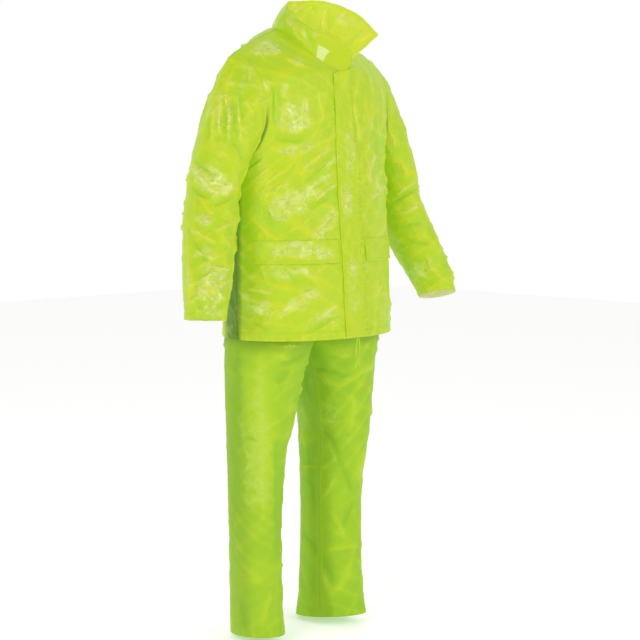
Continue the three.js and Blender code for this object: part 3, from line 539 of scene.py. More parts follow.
trouserFolds = [
    # wearer's right leg
    (259, 346, 264, 520, 6.5, 3.2, 3), (281, 366, 309, 351, 2.8, -3.6, 1), (266, 343, 306, 345, 2.4, 2.6, 2),
    (257, 430, 281, 421, 2.4, 2.6, 1), (246, 468, 263, 460, 2.2, 1.8, 0), (277, 384, 290, 372, 2.8, -2.4, 0),
    (238, 350, 236, 520, 4.5, -2.6, 0), (276, 440, 278, 560, 4.5, -2.4, 0), (270, 352, 296, 362, 2.6, 2.2, 1),
    (243, 504, 266, 496, 2.6, 1.6, 0), (240, 560, 262, 584, 3.4, 1.8, 1), (244, 436, 268, 446, 2.4, -1.6, 0),
    (272, 590, 262, 626, 3.2, 1.8, 0), (240, 600, 246, 630, 3.2, -1.6, 0),
    # wearer's left leg
    (314, 346, 301, 406, 2.6, -4.2, 1), (318, 373, 338, 387, 2.6, 3.2, 1), (337, 387, 374, 361, 3.2, 3.4, 2),
    (310, 366, 358, 377, 2.6, -3.2, 2), (312, 409, 342, 468, 2.4, -3.4, -2),
    (341, 467, 352, 491, 2.2, -2.4, 0), (302, 466, 329, 466, 2.0, 2.8, 1), (336, 478, 321, 501, 2.2, 2.2, 0),
    (304, 531, 334, 588, 2.6, -3.2, -2), (325, 550, 359, 545, 2.2, 2.8, 1), (353, 393, 350, 434, 3.6, 2.6, 1),
    (365, 448, 358, 482, 3.0, 2.2, 0), (327, 352, 352, 356, 2.4, 2.2, 1), (318, 416, 330, 440, 2.6, 2.4, 0),
    (306, 440, 316, 520, 3.4, -2.0, 0), (356, 500, 342, 528, 2.8, -2.0, 0), (330, 510, 346, 540, 3.0, 1.8, 0),
    (318, 566, 332, 600, 3.4, 2.0, 0), (352, 560, 340, 590, 3.0, 1.8, 0), (303, 420, 306, 456, 2.0, 1.8, 0),
]
collarFolds = [
    (323, 10, 323, 34, 1.5, 2.4, 1), (327, 9, 329, 30, 1.5, -2.0, 0), (335, 12, 338, 24, 2.2, 1.6, 0),
    (300, 5, 303, 14, 1.8, 1.8, 0), (312, 4, 316, 16, 1.8, -1.8, 0), (348, 46, 361, 29, 1.8, -3.2, 0),
    (352, 44, 372, 34, 2.4, 2.2, 1), (338, 34, 346, 48, 1.8, 1.6, 0), (284, 12, 288, 30, 2.2, -1.8, 1),
    (292, 24, 304, 42, 2.2, 1.6, 1), (306, 30, 314, 46, 2.2, -1.6, 0), (343, 14, 350, 26, 2.4, -1.4, 0),
]
# crumples that run over the whole suit: direction, wave length, height, warp
crumples = [
    ((0.5, -0.3, 0.9), 46, 1.0, 1.3), ((-0.6, 0.4, 0.7), 57, 1.0, 1.7), ((0.9, 0.6, 0.35), 52, 0.8, 1.1),
    ((0.2, 0.95, -0.45), 41, 0.8, 1.5), ((-0.8, -0.5, 0.3), 33, 0.7, 1.2), ((0.35, -0.6, -1.0), 27, 0.6, 0.9),
]

# patches that shine from the camera, by the coat and by a painted sheen in the colour: middle, half length
# along and across, turn in degrees, strength
glossAndPaintedSheenPatches = [
    (288, 111, 12, 8, 35, 0.9), (296, 124, 15, 7, -15, 1.0), (281, 122, 6, 12, 10, 0.8),
    (305, 112, 5, 10, 0, 0.7), (284, 90, 4, 12, 15, 0.6), (292, 150, 21, 6, -10, 0.7),
    (331, 160, 8, 14, 10, 0.6), (322, 180, 14, 4, -35, 0.6), (283, 206, 18, 11, -35, 1.0),
    (300, 197, 17, 7, -25, 0.9), (275, 215, 10, 7, 20, 0.8), (303, 211, 12, 6, 10, 0.8),
    (347, 203, 6, 22, 0, 0.8), (350, 150, 6, 30, 0, 0.6), (294, 250, 19, 9, 0, 1.0),
    (286, 273, 21, 8, 0, 0.8), (328, 222, 9, 16, 20, 0.7), (325, 252, 12, 8, 0, 0.6),
    (303, 300, 26, 8, -30, 0.6), (322, 320, 20, 7, -25, 0.5), (262, 310, 12, 10, 20, 0.5),
    (352, 285, 7, 30, 0, 0.6), (268, 47, 17, 8, -5, 0.9), (299, 60, 10, 8, 0, 0.4),
    (210, 180, 21, 13, 30, 1.0), (203, 220, 9, 7, 0, 0.9), (205, 253, 12, 8, 0, 0.9),
    (213, 285, 16, 19, 0, 1.0), (211, 311, 14, 8, 0, 0.9), (219, 113, 2.5, 24, 4, 0.8),
    (230, 112, 3, 30, 4, 0.8), (241, 92, 4, 27, 10, 0.8), (252, 72, 5, 18, 0, 0.5), (297, 7, 6, 6, 0, 0.9),
    (346, 20, 9, 5, 20, 0.9), (313, 9, 9, 5, 0, 0.6), (425, 185, 8, 12, -20, 0.5),
    (422, 268, 12, 12, 30, 0.5), (378, 160, 8, 40, 0, 0.35), (262, 170, 14, 10, -40, 0.5),
    (256, 470, 12, 90, 0, 0.5), (335, 430, 14, 40, -10, 0.4),
]


def glossAndPaintedSheenShare(points, normals):
    # share of shine and painted sheen: strongest of the patches at each point, strength * (1 - smooth step of
    # the distance in half lengths), and crossed waves where the camera doesn't see
    across, down = pictureOf(points)
    share = np.zeros(across.shape)
    for x, y, long, wide, turn, strength in glossAndPaintedSheenPatches:
        turn = math.radians(turn)
        along = ((across - x) * math.cos(turn) + (down - y) * math.sin(turn)) / long
        aside = ((down - y) * math.cos(turn) - (across - x) * math.sin(turn)) / wide
        share = np.maximum(share, strength * (1 - softStep((np.hypot(along, aside) - 0.25) / 1.35)))
    seen = softStep(-(normals @ viewAxes()[1]) / 0.3)
    x, y, z = np.moveaxis(points, -1, 0)
    waves = 0.45 + 0.4 * np.sin(x / 41 + 1.3) * np.cos(z / 53 + y / 67) + 0.25 * np.sin(z / 29 + x / 37)
    return share * seen + softStep(waves) * (1 - seen) * 0.8


foldScale = 1.8


def foldRelief(across, down, table):
    # each fold: height * sin(pi t)^0.6 along its wavering length, times a crest across it,
    # exp(0.22 - sqrt(2.2 * (aside / spread)^2 + 0.05)), that is steeper on its lower side
    relief = np.zeros(across.shape)
    for k, (x1, y1, x2, y2, width, height, bow) in enumerate(table):
        if x2 < x1:
            x1, y1, x2, y2 = x2, y2, x1, y1
        length = math.hypot(x2 - x1, y2 - y1)
        t = ((across - x1) * (x2 - x1) + (down - y1) * (y2 - y1)) / length**2
        aside = ((down - y1) * (x2 - x1) - (across - x1) * (y2 - y1)) / length - 4 * bow * t * (1 - t)
        waver = np.sin(t * length / 4.7 + k) + 0.7 * np.sin(t * length / 2.6 + 2.1 * k)
        aside = aside + 0.09 * length**0.5 * waver
        spread = np.where(aside > 0, width * 0.6, width * 1.35)
        crest = np.exp(0.22 - np.sqrt((aside / spread) ** 2 * 2.2 + 0.05))
        relief += foldScale * height * np.sin(np.pi * np.clip(t, 0, 1)) ** 0.6 * crest
    return relief


def crumpleRelief(points):
    # crossed waves with sharp crests, (1 - |sin|)^2, that fade in and out in patches
    x, y, z = np.moveaxis(points, -1, 0)
    relief = np.zeros(x.shape)
    for k, (way, wave, height, warp) in enumerate(crumples):
        way = np.array(way) / np.linalg.norm(way)
        bend = warp * np.sin(x / 71 + 1.7 * k) + warp * np.sin(y / 63 + z / 97 + 2.3 * k)
        phase = np.pi * (points @ way) / wave + bend
        patch = 0.5 + 0.5 * np.sin(x / 118 + 1.1 * k) * np.cos(z / 89 + y / 131 + 0.7 * k)
        relief += height * patch * ((1 - np.abs(np.sin(phase))) ** 2 * 2 - 0.6)
    return relief


def clothRelief(points, normals, table, bothFaces=False, crumple=1.0):
    # sum over four views of the table, each by how far the cloth faces that view: the camera's first, and
    # mirrored or turned ones on the sides that it doesn't see
    views = [((1, 1, 1), 0, 0), ((-1, 1, 1), 5, -4), ((-1, -1, 1), -6, 5), ((1, -1, 1), 8, 7)]
    shares, reliefs = [], []
    for flip, slipX, slipY in views:
        toward = -(normals * np.array(flip, float)) @ viewAxes()[1]
        shares.append(softStep((np.abs(toward) if bothFaces else toward) / 0.4))
        across, down = pictureOf(points * np.array(flip, float))
        reliefs.append(foldRelief(across + slipX, down + slipY, table))
    relief = shares[0] * reliefs[0]
    total = np.maximum(shares[1] + shares[2] + shares[3], 1)
    for share, part in zip(shares[1:], reliefs[1:]):
        relief += (1 - shares[0]) * share / total * part
    return relief + crumple * crumpleRelief(points)


# round a front or half of the back at the hem, and the height of the hem
bodyArc = 415
hemHeight = 748
jacketFront = {
    # level, centre edge, the way it leaves there, side edge, the way it arrives
    "rows": [
        (0.0, (0, -193, 748), (415, 0, 0), (240, -22, 748), (0, 290, 0)),
        (0.14, (0, -187, 838), (415, 0, 0), (241, -21, 838), (0, 280, 0)),
        (0.28, (0, -181, 928), (415, 0, 0), (241, -20, 928), (0, 270, 0)),
        (0.42, (0, -172, 1020), (415, 0, 0), (241, -18, 1018), (0, 262, 0)),
        (0.54, (0, -165, 1098), (415, 0, 0), (241, -15, 1092), (0, 255, 0)),
        (0.64, (0, -160, 1175), (410, 0, 0), (250, -12, 1160), (30, 235, 0)),
        (0.7, (0, -155, 1225), (390, 0, 4), (233, -62, 1196), (95, 150, -10)),
        (0.77, (0, -148, 1290), (350, 0, 8), (216, -90, 1250), (110, 110, -15)),
        (0.84, (0, -139, 1352), (300, -6, 10), (212, -96, 1308), (110, 85, -25)),
        (0.892, (0, -130, 1400), (250, -18, 10), (214, -90, 1350), (110, 60, -40)),
        (0.928, (42, -106, 1424), (200, -14, -10), (218, -75, 1385), (110, 40, -55)),
        (0.964, (74, -66, 1466), (160, -8, -45), (224, -47, 1416), (115, 20, -65)),
        (1.0, (82, 2, 1503), (135, 0, -48), (230, -8, 1441), (150, 0, -78)),
    ],
    "centreCorner": 9, "sideCorner": 5,
    "neckSpread": (8, -17),  # the left front's neck edge is pulled open this far
    "grid": (210, 108), "cut": (395, 760), "wall": 0.9,
}
jacketBack = {
    "rows": [
        (0.0, (0, 156, 748), (415, 0, 0), (240, -22, 748), (0, -300, 0)),
        (0.14, (0, 148, 838), (415, 0, 0), (241, -21, 838), (0, -290, 0)),
        (0.28, (0, 141, 928), (415, 0, 0), (241, -20, 928), (0, -280, 0)),
        (0.42, (0, 137, 1020), (415, 0, 0), (241, -18, 1018), (0, -272, 0)),
        (0.54, (0, 138, 1098), (415, 0, 0), (241, -15, 1092), (0, -265, 0)),
        (0.64, (0, 142, 1175), (410, 0, 0), (250, -12, 1160), (30, -245, 0)),
        (0.7, (0, 144, 1232), (400, 0, 0), (236, 42, 1196), (95, -165, -10)),
        (0.77, (0, 143, 1300), (380, 0, 0), (222, 80, 1250), (110, -120, -15)),
        (0.84, (0, 138, 1366), (350, 4, 0), (217, 86, 1308), (110, -85, -25)),
        (0.89, (0, 126, 1420), (320, 6, -5), (218, 77, 1350), (110, -60, -40)),
        (0.93, (0, 108, 1466), (290, 6, -20), (221, 56, 1385), (110, -40, -55)),
        (0.964, (0, 72, 1512), (250, 0, -35), (226, 28, 1416), (115, -20, -65)),
        (0.982, (55, 50, 1510), (185, 0, -42), (228, 10, 1430), (130, -10, -70)),
        (1.0, (82, 2, 1503), (135, 0, -48), (230, -8, 1441), (150, 0, -78)),
    ],
    "centreCorner": 11, "sideCorner": 5,
    "grid": (200, 190), "cut": (800, 790), "wall": 0.9,
}
jacketLevels = {"neckFront": 0.892, "neckBack": 0.964, "armhole": 0.64}


def torsoSurface(panel, side, u, v):
    # half of a front or back: a cubic from the centre edge to the side edge at each level
    keys, *columns = zip(*panel["rows"])
    corners = [panel["centreCorner"]], (), [panel["sideCorner"]], ()
    centre, leave, edge, arrive = [throughRows(keys, column, v, corner)
                                   for column, corner in zip(columns, corners)]
    points = hermite(centre, leave, edge, arrive, u[..., None])
    points[..., 0] = np.maximum(points[..., 0], 0.15 if panel is jacketFront else 0) * side
    return points


def frontSurface(side, u, v):
    # the half front, with the left neck edge eased outwards by a share that fades away from the edge
    points = torsoSurface(jacketFront, side, u, v)
    if side > 0:
        eased = softStep((v - 0.82) / 0.09) * softStep((1 - v) / 0.06) * (1 - u) ** 3
        points[..., 0] += jacketFront["neckSpread"][0] * eased
        points[..., 1] += jacketFront["neckSpread"][1] * eased
    return points


lastLevel = 0.9998


def rowLevels(t):
    # rows lie closer near the hem, where the stitching is: t + 0.18 * (t^2 - t) * (1 - t)
    return t + 0.18 * (t * t - t) * (1 - t)


def panelGrid(shape, firstU, lastU):
    # shares across and levels of a grid
    rows, columns = shape
    return np.meshgrid(np.linspace(firstU, lastU, columns), rowLevels(np.linspace(0, 1, rows)) * lastLevel)


def hemRelief(up, around):
    # a stitched hem: a shallow groove 20 mm above the edge and small puckers between the stitches
    groove = -0.7 * np.exp(-(((up - 20) / 2.6) ** 2))
    pucker = 0.5 * np.exp(-((up / 26) ** 2)) * (np.sin(around / 5.2) + 0.6 * np.sin(around / 3.1 + 1.3))
    return groove + pucker


surfaces = {}  # grid and normals of each cloth piece, by its node


def sideShade(points):
    # painted shade where little light reaches the jacket under the arms: soft steps off the front, the back
    # and the armhole
    x, y, z = np.moveaxis(points, -1, 0)
    between = softStep((y + 42) / 20) * softStep((55 - y) / 40)
    return between * softStep((np.abs(x) - 190) / 30) * softStep((1175 - z) / 40)


def keepPiece(name, node, grid, outward, shape, materials, relief=None, ring=False, shade=None,
              slit=None):
    # a cloth piece in place of its node, marked with its folds (which paint shade into troughs and light onto
    # crests), its shine patches (coat and painted sheen) and its painted shade, and kept for what lies on it
    normals = facing(grid, outward, ring)
    marks = {} if relief is None else {"fold": relief, "gloss": glossAndPaintedSheenShare(grid, normals)}
    if shade is not None:
        marks["shade"] = shade
    piece = addShell(name, grid, outward, shape["wall"], materials, ring, shape["cut"], marks, slit)
    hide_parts(node)
    surfaces[node] = (grid, normals)


def addFronts():
    # folds that ease out at the seams, the stitched hem, and puckers along the left one's storm flap seam
    for name, side in (("right", -1), ("left", 1)):
        u, v = panelGrid(jacketFront["grid"], 0.0006, 0.9995)
        base = frontSurface(side, u, v)
        normals = facing(base, side)
        calm = softStep(u / 0.05) * softStep((1 - u) / 0.05) * softStep((1 - v) / 0.03)
        relief = clothRelief(base, normals, jacketFolds) * calm
        relief += hemRelief(base[..., 2] - hemHeight, u * bodyArc) * softStep(u / 0.1)
        if side > 0:
            nearSeam = np.exp(-(((u * bodyArc - stormFlap["halfWidth"]) / 13) ** 2))
            relief += nearSeam * np.sin(v * 330 + 2.2 * np.sin(v * 61)) * softStep((0.85 - v) / 0.1)
        # painted shade just inside the armhole seam, and painted shade on the sides under the arms
        underArmShade = softStep((u - 0.93) / 0.05) * softStep((v - 0.6) / 0.05) * softStep((0.86 - v) / 0.08)
        keepPiece(f"{name}_front_cloth", f"{name}_front", base + normals * relief[..., None], side,
                  jacketFront, [jacketCloth, clothBack], relief,
                  shade=np.maximum(sideShade(base), underArmShade))


def addBack():
    # both halves in one grid, with a slit above the neck's lowest point; folds ease out at seams and neck
    u, v = panelGrid(jacketBack["grid"], -0.9995, 0.9995)
    right, left = torsoSurface(jacketBack, -1, np.abs(u), v), torsoSurface(jacketBack, 1, u.clip(0), v)
    base = np.where(u[..., None] < 0, right, left)
    normals = facing(base, -1)
    atNeck = softStep((v - 0.925) / 0.03) * softStep((0.2 - np.abs(u)) / 0.15)
    calm = softStep((1 - np.abs(u)) / 0.05) * softStep((1 - v) / 0.03) * (1 - atNeck)
    relief = clothRelief(base, normals, jacketFolds) * calm + hemRelief(base[..., 2] - hemHeight, u * bodyArc)
    neck = (int(np.searchsorted(v[:, 0], jacketLevels["neckBack"])), u.shape[1] // 2 - 1)
    # painted shade on the sides under the arms
    keepPiece("back_cloth", "back", base + normals * relief[..., None], -1, jacketBack,
              [jacketCloth, clothBack], relief, shade=sideShade(base), slit=neck)


stormFlap = {
    "halfWidth": 35, "topFree": 0.884, "topRoot": 0.914, "lift": 2.0, "grid": (230, 26), "cut": (70, 650),
    "wall": 1.1,
}
addFronts()
addBack()
print("jacket body made")

sleeve = {
    # down the arm: height, middle across, middle front to back, half width, half depth
    "rows": [(1125, 313, -22, 54, 76), (1095, 317, -21, 54, 74), (1055, 328, -27, 58, 74),
             (1000, 347, -43, 57, 71), (920, 378, -72, 53, 66), (860, 397, -88, 48, 59),
             (812, 409, -96, 45, 54)],
    "capShare": 0.4, "round": 380, "hitch": {"right": 0, "left": 30}, "grid": (190, 132), "cut": (520, 660),
    "wall": 0.9,
}


def armFrame(height):
    # middle and axes of the arm at a height, from the table's curve
    down = sleeve["rows"][0][0] - height
    keys = [sleeve["rows"][0][0] - row[0] for row in sleeve["rows"]]
    values = [row[1:] for row in sleeve["rows"]]
    x, y, wide, deep = np.moveaxis(throughRows(keys, values, down), -1, 0)
    middle = np.stack([x, y, height], -1)
    ahead, behind = [throughRows(keys, values, down + step)[..., :2] for step in (20, -20)]
    axis = unit(np.concatenate([ahead - behind, np.full(x.shape + (1,), -40.0)], -1))
    front = unit(np.array([0, -1.0, 0]) + axis * axis[..., 1:2])
    return middle, axis, front, unit(np.cross(front, axis)), wide[..., None], deep[..., None]


def armSurface(turn, height):
    # oval round the arm's axis: middle + cos a * wide outwards + sin a * deep forwards
    middle, axis, front, out, wide, deep = armFrame(height)
    angle = (turn * 2 * np.pi)[..., None]
    return middle + np.cos(angle) * wide * out + np.sin(angle) * deep * front


def armholeEdge(turn):
    # round the armhole from the shoulder by the front, the underarm and the back
    forward = turn <= 0.5
    share = np.where(forward, turn * 2, (1 - turn) * 2)
    level = 1 - share * (1 - jacketLevels["armhole"])
    edges = []
    for panel in (jacketFront, jacketBack):
        keys, _, _, side, _ = zip(*panel["rows"])
        edges.append(throughRows(keys, side, level, [panel["sideCorner"]]))
    return np.where(forward[..., None], *edges)


def sleeveSurface(turn, v, side):
    # the cap is a cubic from the armhole to the top of the arm, and the rest follows the arm's ovals
    share = sleeve["capShare"]
    topHeight, cuffHeight = sleeve["rows"][0][0], sleeve["rows"][-1][0]
    height = topHeight + (cuffHeight - topHeight) * np.clip((v - share) / (1 - share), 0, 1)
    arm = armSurface(turn, height)
    top = ((1 + np.cos(turn * 2 * np.pi)) / 2)[..., None]
    start = armholeEdge(turn) + np.concatenate([0.3 * (4 - 3 * top), 0 * top, -0.6 * (1 - top)], -1)
    end = armSurface(turn, np.full(turn.shape, float(topHeight)))
    reach = np.linalg.norm(end - start, axis=-1, keepdims=True)
    leave = unit(np.concatenate([0.93 * top + 0.25, 0 * top, -0.4 * top - 0.9 * (1 - top)], -1))
    arrive = armFrame(np.full(turn.shape, float(topHeight)))[1]
    t = np.clip(v / share, 0, 1)[..., None]
    cap = hermite(start, leave * reach * (0.42 + 0.03 * top), end, arrive * reach * 0.55, t)
    return np.where(v[..., None] >= share, arm, cap) * np.array([side, 1, 1])


def addSleeves():
    # the front of the left cuff is hitched up, so that its opening shows
    rows, columns = sleeve["grid"]
    turn, v = np.meshgrid(np.linspace(0, 1, columns, endpoint=False), np.linspace(0, 1, rows))
    for name, side in (("right", -1), ("left", 1)):
        base = sleeveSurface(turn, v, side)
        normals = facing(base, side, True)
        relief = clothRelief(base, normals, sleeveFolds, crumple=1.15)
        relief = relief * softStep(v / 0.05)
        relief = relief + hemRelief(base[..., 2] - sleeve["rows"][-1][0], turn * sleeve["round"])
        grid = base + normals * relief[..., None]
        atFront = 0.5 + 0.5 * np.cos((turn - 0.375) * 2 * np.pi)
        grid[..., 2] += sleeve["hitch"][name] * softStep((v - 0.8) / 0.2) * atFront
        keepPiece(f"{name}_sleeve_cloth", f"{name}_sleeve", grid, side, sleeve, [jacketCloth, sleeveBack],
                  relief, ring=True)


addSleeves()
print("sleeves made")

collar = {
    # place round the neckline from -1 to 1, top edge, outward lean of the middle
    "rows": [
        (-0.77, (-43, -104, 1485), 2), (-0.6, (-67, -68, 1514), 5), (-0.42, (-60, -15, 1551), 5),
        (-0.2, (-24, 24, 1571), 4), (0, (27, 30, 1578), 3), (0.2, (76, 9, 1580), 4),
        (0.42, (103, -35, 1566), 4), (0.6, (109, -96, 1538), 4), (0.77, (88, -178, 1487), 2),
    ],
    "backShare": 0.42, "tall": 85, "grid": (44, 190), "cut": (480, 95), "wall": 1.3,
}


def necklineEdge(at):
    # the back's neck edge out to the shoulder seams, then down the fronts
    side = np.where(at < 0, -1, 1)
    share = np.abs(at)
    lowest = jacketLevels["neckBack"]
    backLevel = lowest + np.minimum(share / collar["backShare"], 1) * (1 - lowest)
    down = np.clip((share - collar["backShare"]) / (1 - collar["backShare"]), 0, 1)
    frontLevel = 1 - down * (1 - jacketLevels["neckFront"])
    zero = np.zeros(at.shape)
    back = torsoSurface(jacketBack, 1, zero, backLevel)
    left, right = frontSurface(1, zero, frontLevel), frontSurface(-1, zero, frontLevel)
    back[..., 0] *= side
    front = np.where((side > 0)[..., None], left, right)
    return np.where((share < collar["backShare"])[..., None], back, front)


def addCollar():
    # straight from the neckline to the top edge, swelling outwards by lean * sin(pi v), its foot tucked in
    rows, columns = collar["grid"]
    last = collar["rows"][-1][0]
    at, v = np.meshgrid(np.linspace(-last, last, columns), np.linspace(0, 1, rows))
    keys = [row[0] for row in collar["rows"]]
    top = throughRows(keys, [row[1] for row in collar["rows"]], at)
    lean = throughRows(keys, [row[2] for row in collar["rows"]], at)
    foot = necklineEdge(at)
    base = foot + (top - foot) * v[..., None]
    out = unit(np.stack([base[..., 0], base[..., 1] + 15, 0 * v], -1))
    tuck = softStep((0.08 - v) / 0.08)[..., None]
    base = base + out * (lean * np.sin(np.pi * v)[..., None] - 1.6 * tuck)
    base = base + np.array([0, 0, 1.05]) * (1 - 4 * tuck)
    normals = facing(base, 1)
    relief = clothRelief(base, normals, collarFolds, bothFaces=True, crumple=0.9)
    edge = -0.5 * np.exp(-((((1 - v) * collar["tall"] - 7) / 1.8) ** 2))
    relief = relief * softStep(v / 0.12) * softStep((1 - v) / 0.06 + 0.35) + edge
    keepPiece("collar_cloth", "collar", base + normals * relief[..., None], 1, collar,
              [collarInside, jacketCloth], relief)


addCollar()
print("collar made")

pocketFlap = {
    "from": 0.115, "to": 0.8, "top": 0.375, "drop": 56, "grid": (24, 110), "cut": (235, 56), "wall": 1.1,
}
frontLength = {"across": 372, "along": 640}


def rowShare(v):
    # the place of a level among the rows, from 0 to 1
    t = np.linspace(0, 1, 400)
    return np.interp(v / lastLevel, rowLevels(t), t)


def pieceAt(node, u, v):
    # point and normal of a front or the back
    grid, normals = surfaces[node]
    share = rowShare(v)
    return onSurface(grid, u, share), unit(onSurface(normals, u, share))


def overFronts(across, v):
    # a point of the fronts at a distance from the centre front, with its normal
    left, leftNormal = pieceAt("left_front", np.maximum(across, 0) / frontLength["across"], v)
    right, rightNormal = pieceAt("right_front", np.maximum(-across, 0) / frontLength["across"], v)
    onLeft = (across >= 0)[..., None]
    normal = np.where(onLeft, leftNormal, rightNormal)
    normal[..., 0] *= np.minimum(1, np.abs(across) / 20)
    return np.where(onLeft, left, right), unit(normal)


def smoothRows(grid, times):
    # evens a grid out along its rows, a quarter of each neighbour at a time, to span small folds below it
    for _ in range(times):
        grid[:, 1:-1] = 0.25 * grid[:, :-2] + 0.5 * grid[:, 1:-1] + 0.25 * grid[:, 2:]
    return grid


def addStormFlap():
    # follows the fronts at its lift, with a free edge that stands off, stitched edges and puckers at the seam
    rows, columns = stormFlap["grid"]
    u, v = np.meshgrid(np.linspace(0, 1, columns), np.linspace(0, 1, rows))
    level = 0.002 + v * (stormFlap["topFree"] + (stormFlap["topRoot"] - stormFlap["topFree"]) * u**2 - 0.002)
    across = stormFlap["halfWidth"] * (2 * u - 1)
    point, normal = overFronts(across, level)
    corner = 4.5 * softStep((v - 0.93) / 0.07) * np.sin(np.pi * np.clip(u * 0.9 + 0.05, 0, 1))
    free = 1.6 * (1 - u) ** 3 * (0.6 + 0.4 * np.sin(v * 31 + np.sin(v * 13)))
    base = smoothRows(point + normal * (stormFlap["lift"] + corner + free)[..., None], 6)
    normals = facing(base, 1)
    away = u * stormFlap["cut"][0]
    pucker = 0.7 * np.exp(-(((away - 66) / 7) ** 2)) * np.sin(v * 290 + 2.4 * np.sin(v * 57))
    edge = -0.5 * np.exp(-(((away - 6) / 1.6) ** 2)) + pucker * softStep((0.9 - v) / 0.2)
    relief = crumpleRelief(base * 1.3) * 0.6 + edge
    keepPiece("storm_flap_cloth", "storm_flap", base + normals * relief[..., None], 1, stormFlap,
              [jacketCloth], relief * 0.6)


def addPocketFlaps():
    # each follows its front and stands off more towards its free lower edge
    rows, columns = pocketFlap["grid"]
    u, v = np.meshgrid(np.linspace(0, 1, columns), np.linspace(0, 1, rows))
    across = pocketFlap["from"] + (pocketFlap["to"] - pocketFlap["from"]) * u
    level = pocketFlap["top"] - (1 - v) * pocketFlap["drop"] / frontLength["along"]
    for name, side in (("right", -1), ("left", 1)):
        point, normal = pieceAt(f"{name}_front", across, level)
        stand = 1.4 + 2.2 * (1 - v) + 0.8 * (1 - v) * np.sin(u * 9 + side)
        base = smoothRows(point + normal * stand[..., None], 4)
        normals = facing(base, side)
        relief = 0.5 * crumpleRelief(base * 1.4) - 0.5 * np.exp(-(((v * pocketFlap["drop"] - 6) / 1.6) ** 2))
        keepPiece(f"{name}_pocket_flap_cloth", f"{name}_pocket_flap", base + normals * relief[..., None],
                  side, pocketFlap, [jacketCloth], relief)


addStormFlap()
addPocketFlaps()
print("flaps made")

zipStrip = {
    "halfWidth": 13, "bottom": 0.02, "top": 0.784, "below": 2.1,
    "grid": (120, 8), "cut": (26, 560), "wall": 0.7,
    "teeth": {"bottom": 0.022, "below": 1.7, "count": 260, "apart": 2.6, "size": (1.5, 2.2, 1.6)},
}


def addZip():
    # the tape lies below the fronts' meeting edges, and the line of its teeth is given back
    rows, columns = zipStrip["grid"]
    teeth = zipStrip["teeth"]
    u, v = np.meshgrid(np.linspace(0, 1, columns), np.linspace(zipStrip["bottom"], zipStrip["top"], rows))
    point, normal = overFronts(zipStrip["halfWidth"] * (2 * u - 1), v)
    grid = point - normal * zipStrip["below"]
    keepPiece("zip_tape", "front_zip", grid, 1, zipStrip, [zipTape])
    along = np.linspace(teeth["bottom"], zipStrip["top"], teeth["count"])
    point, normal = overFronts(np.zeros(teeth["count"]), along)
    return point - normal * teeth["below"], normal


lining = {"halfWidth": 0.56, "bottom": 0.72, "top": 0.966, "grid": (60, 130), "cut": (380, 190), "wall": 0.4}


def addLining():
    # mesh that hangs inside the back: the back's wall and some slack, 1.2 + sin^2, below its surface
    rows, columns = lining["grid"]
    u, v = np.meshgrid(np.linspace(-lining["halfWidth"], lining["halfWidth"], columns),
                       np.linspace(lining["bottom"], lining["top"], rows))
    point, normal = pieceAt("back", (u / 0.9995 + 1) / 2, v)
    slack = 1.2 + 1.0 * np.sin(u * 23 + 2 * np.sin(v * 31)) ** 2
    grid = point - normal * (jacketBack["wall"] + slack)[..., None]
    keepPiece("mesh_lining", "back_lining", grid, -1, lining, [liningMesh])


zipLine = addZip()
addLining()
print("zip tape and lining made")

trouserLeg = {
    # height, middle across, middle front to back, inner and outer half width, half depth, toe-out in degrees,
    # how far the section has opened into half of the hips, share of the cloth on each side of the inseam
    "rows": [
        (-8, 131, 28, 56, 58, 102, 15, 0, 0.25), (60, 133, 31, 57, 59, 92, 15, 0, 0.25),
        (234, 135, 32, 59, 61, 86, 15, 0, 0.25), (355, 134, 31, 63, 66, 87, 14, 0, 0.25),
        (478, 136, 23, 66, 68, 100, 13, 0, 0.24), (560, 129, 17, 77, 80, 108, 11, 0, 0.22),
        (610, 124, 14, 80, 86, 113, 9, 0, 0.22), (655, 128, 9, 97, 89, 110, 7, 0, 0.23),
        (700, 127, 4, 112, 91, 113, 4, 0, 0.23), (738, 121, 0, 116, 97, 119, 2, 0, 0.22),
        (748, 94, -1, 93.85, 125, 127, 0, 0, 0.16), (757, 60, -2, 59.85, 159, 137, 0, 0, 0.11),
        (766, 30, -1.8, 29.85, 189, 144, 0, 0.35, 0.07), (776, 8, -1.6, 7.85, 210, 150, 0, 0.72, 0.045),
        (792, 5, -2.4, 4.85, 212, 149, 0, 0.94, 0.02), (815, 1, -3.5, 0.85, 213, 145, 0, 1, 0),
        (850, 1, -5, 0.85, 206, 140, 0, 1, 0), (930, 1, -8, 0.85, 178, 120, 0, 1, 0),
        (952, 1, -8, 0.85, 168, 114, 0, 1, 0),
    ],
    "hemTilt": 12, "round": 600, "tuck": 2.5, "grid": (225, 132), "cut": (640, 960), "wall": 0.9,
}


def legSurface(u, height, side):
    # oval round the leg from the inseam and back to it, whose inner half closes up where the hips begin
    keys = [row[0] for row in trouserLeg["rows"]]
    values = throughRows(keys, [row[1:] for row in trouserLeg["rows"]], height)
    x, y, inner, outer, deep, turn, opened, share = np.moveaxis(values, -1, 0)
    opened, share = np.clip(opened, 0, 1), np.maximum(share, 1e-6)
    start = -90 * (1 - opened)
    near = np.minimum(u, 1 - u)
    front = np.where(near < share, start * (1 - near / share), 180 * (u - share) / (1 - 2 * share))
    angle = np.radians(np.where((near < share) & (u > 0.5), 180 - front, front))
    turn = np.radians(turn)
    aside = np.sin(angle) * np.where(np.sin(angle) < 0, inner, outer)
    forward = np.cos(angle) * deep
    lift = trouserLeg["hemTilt"] * np.cos(angle) * softStep(1 - height / 200)
    across = np.maximum(x + np.cos(turn) * aside + np.sin(turn) * forward, 0.15)
    return np.stack([across * side, y + np.sin(turn) * aside - np.cos(turn) * forward, height + lift], -1)


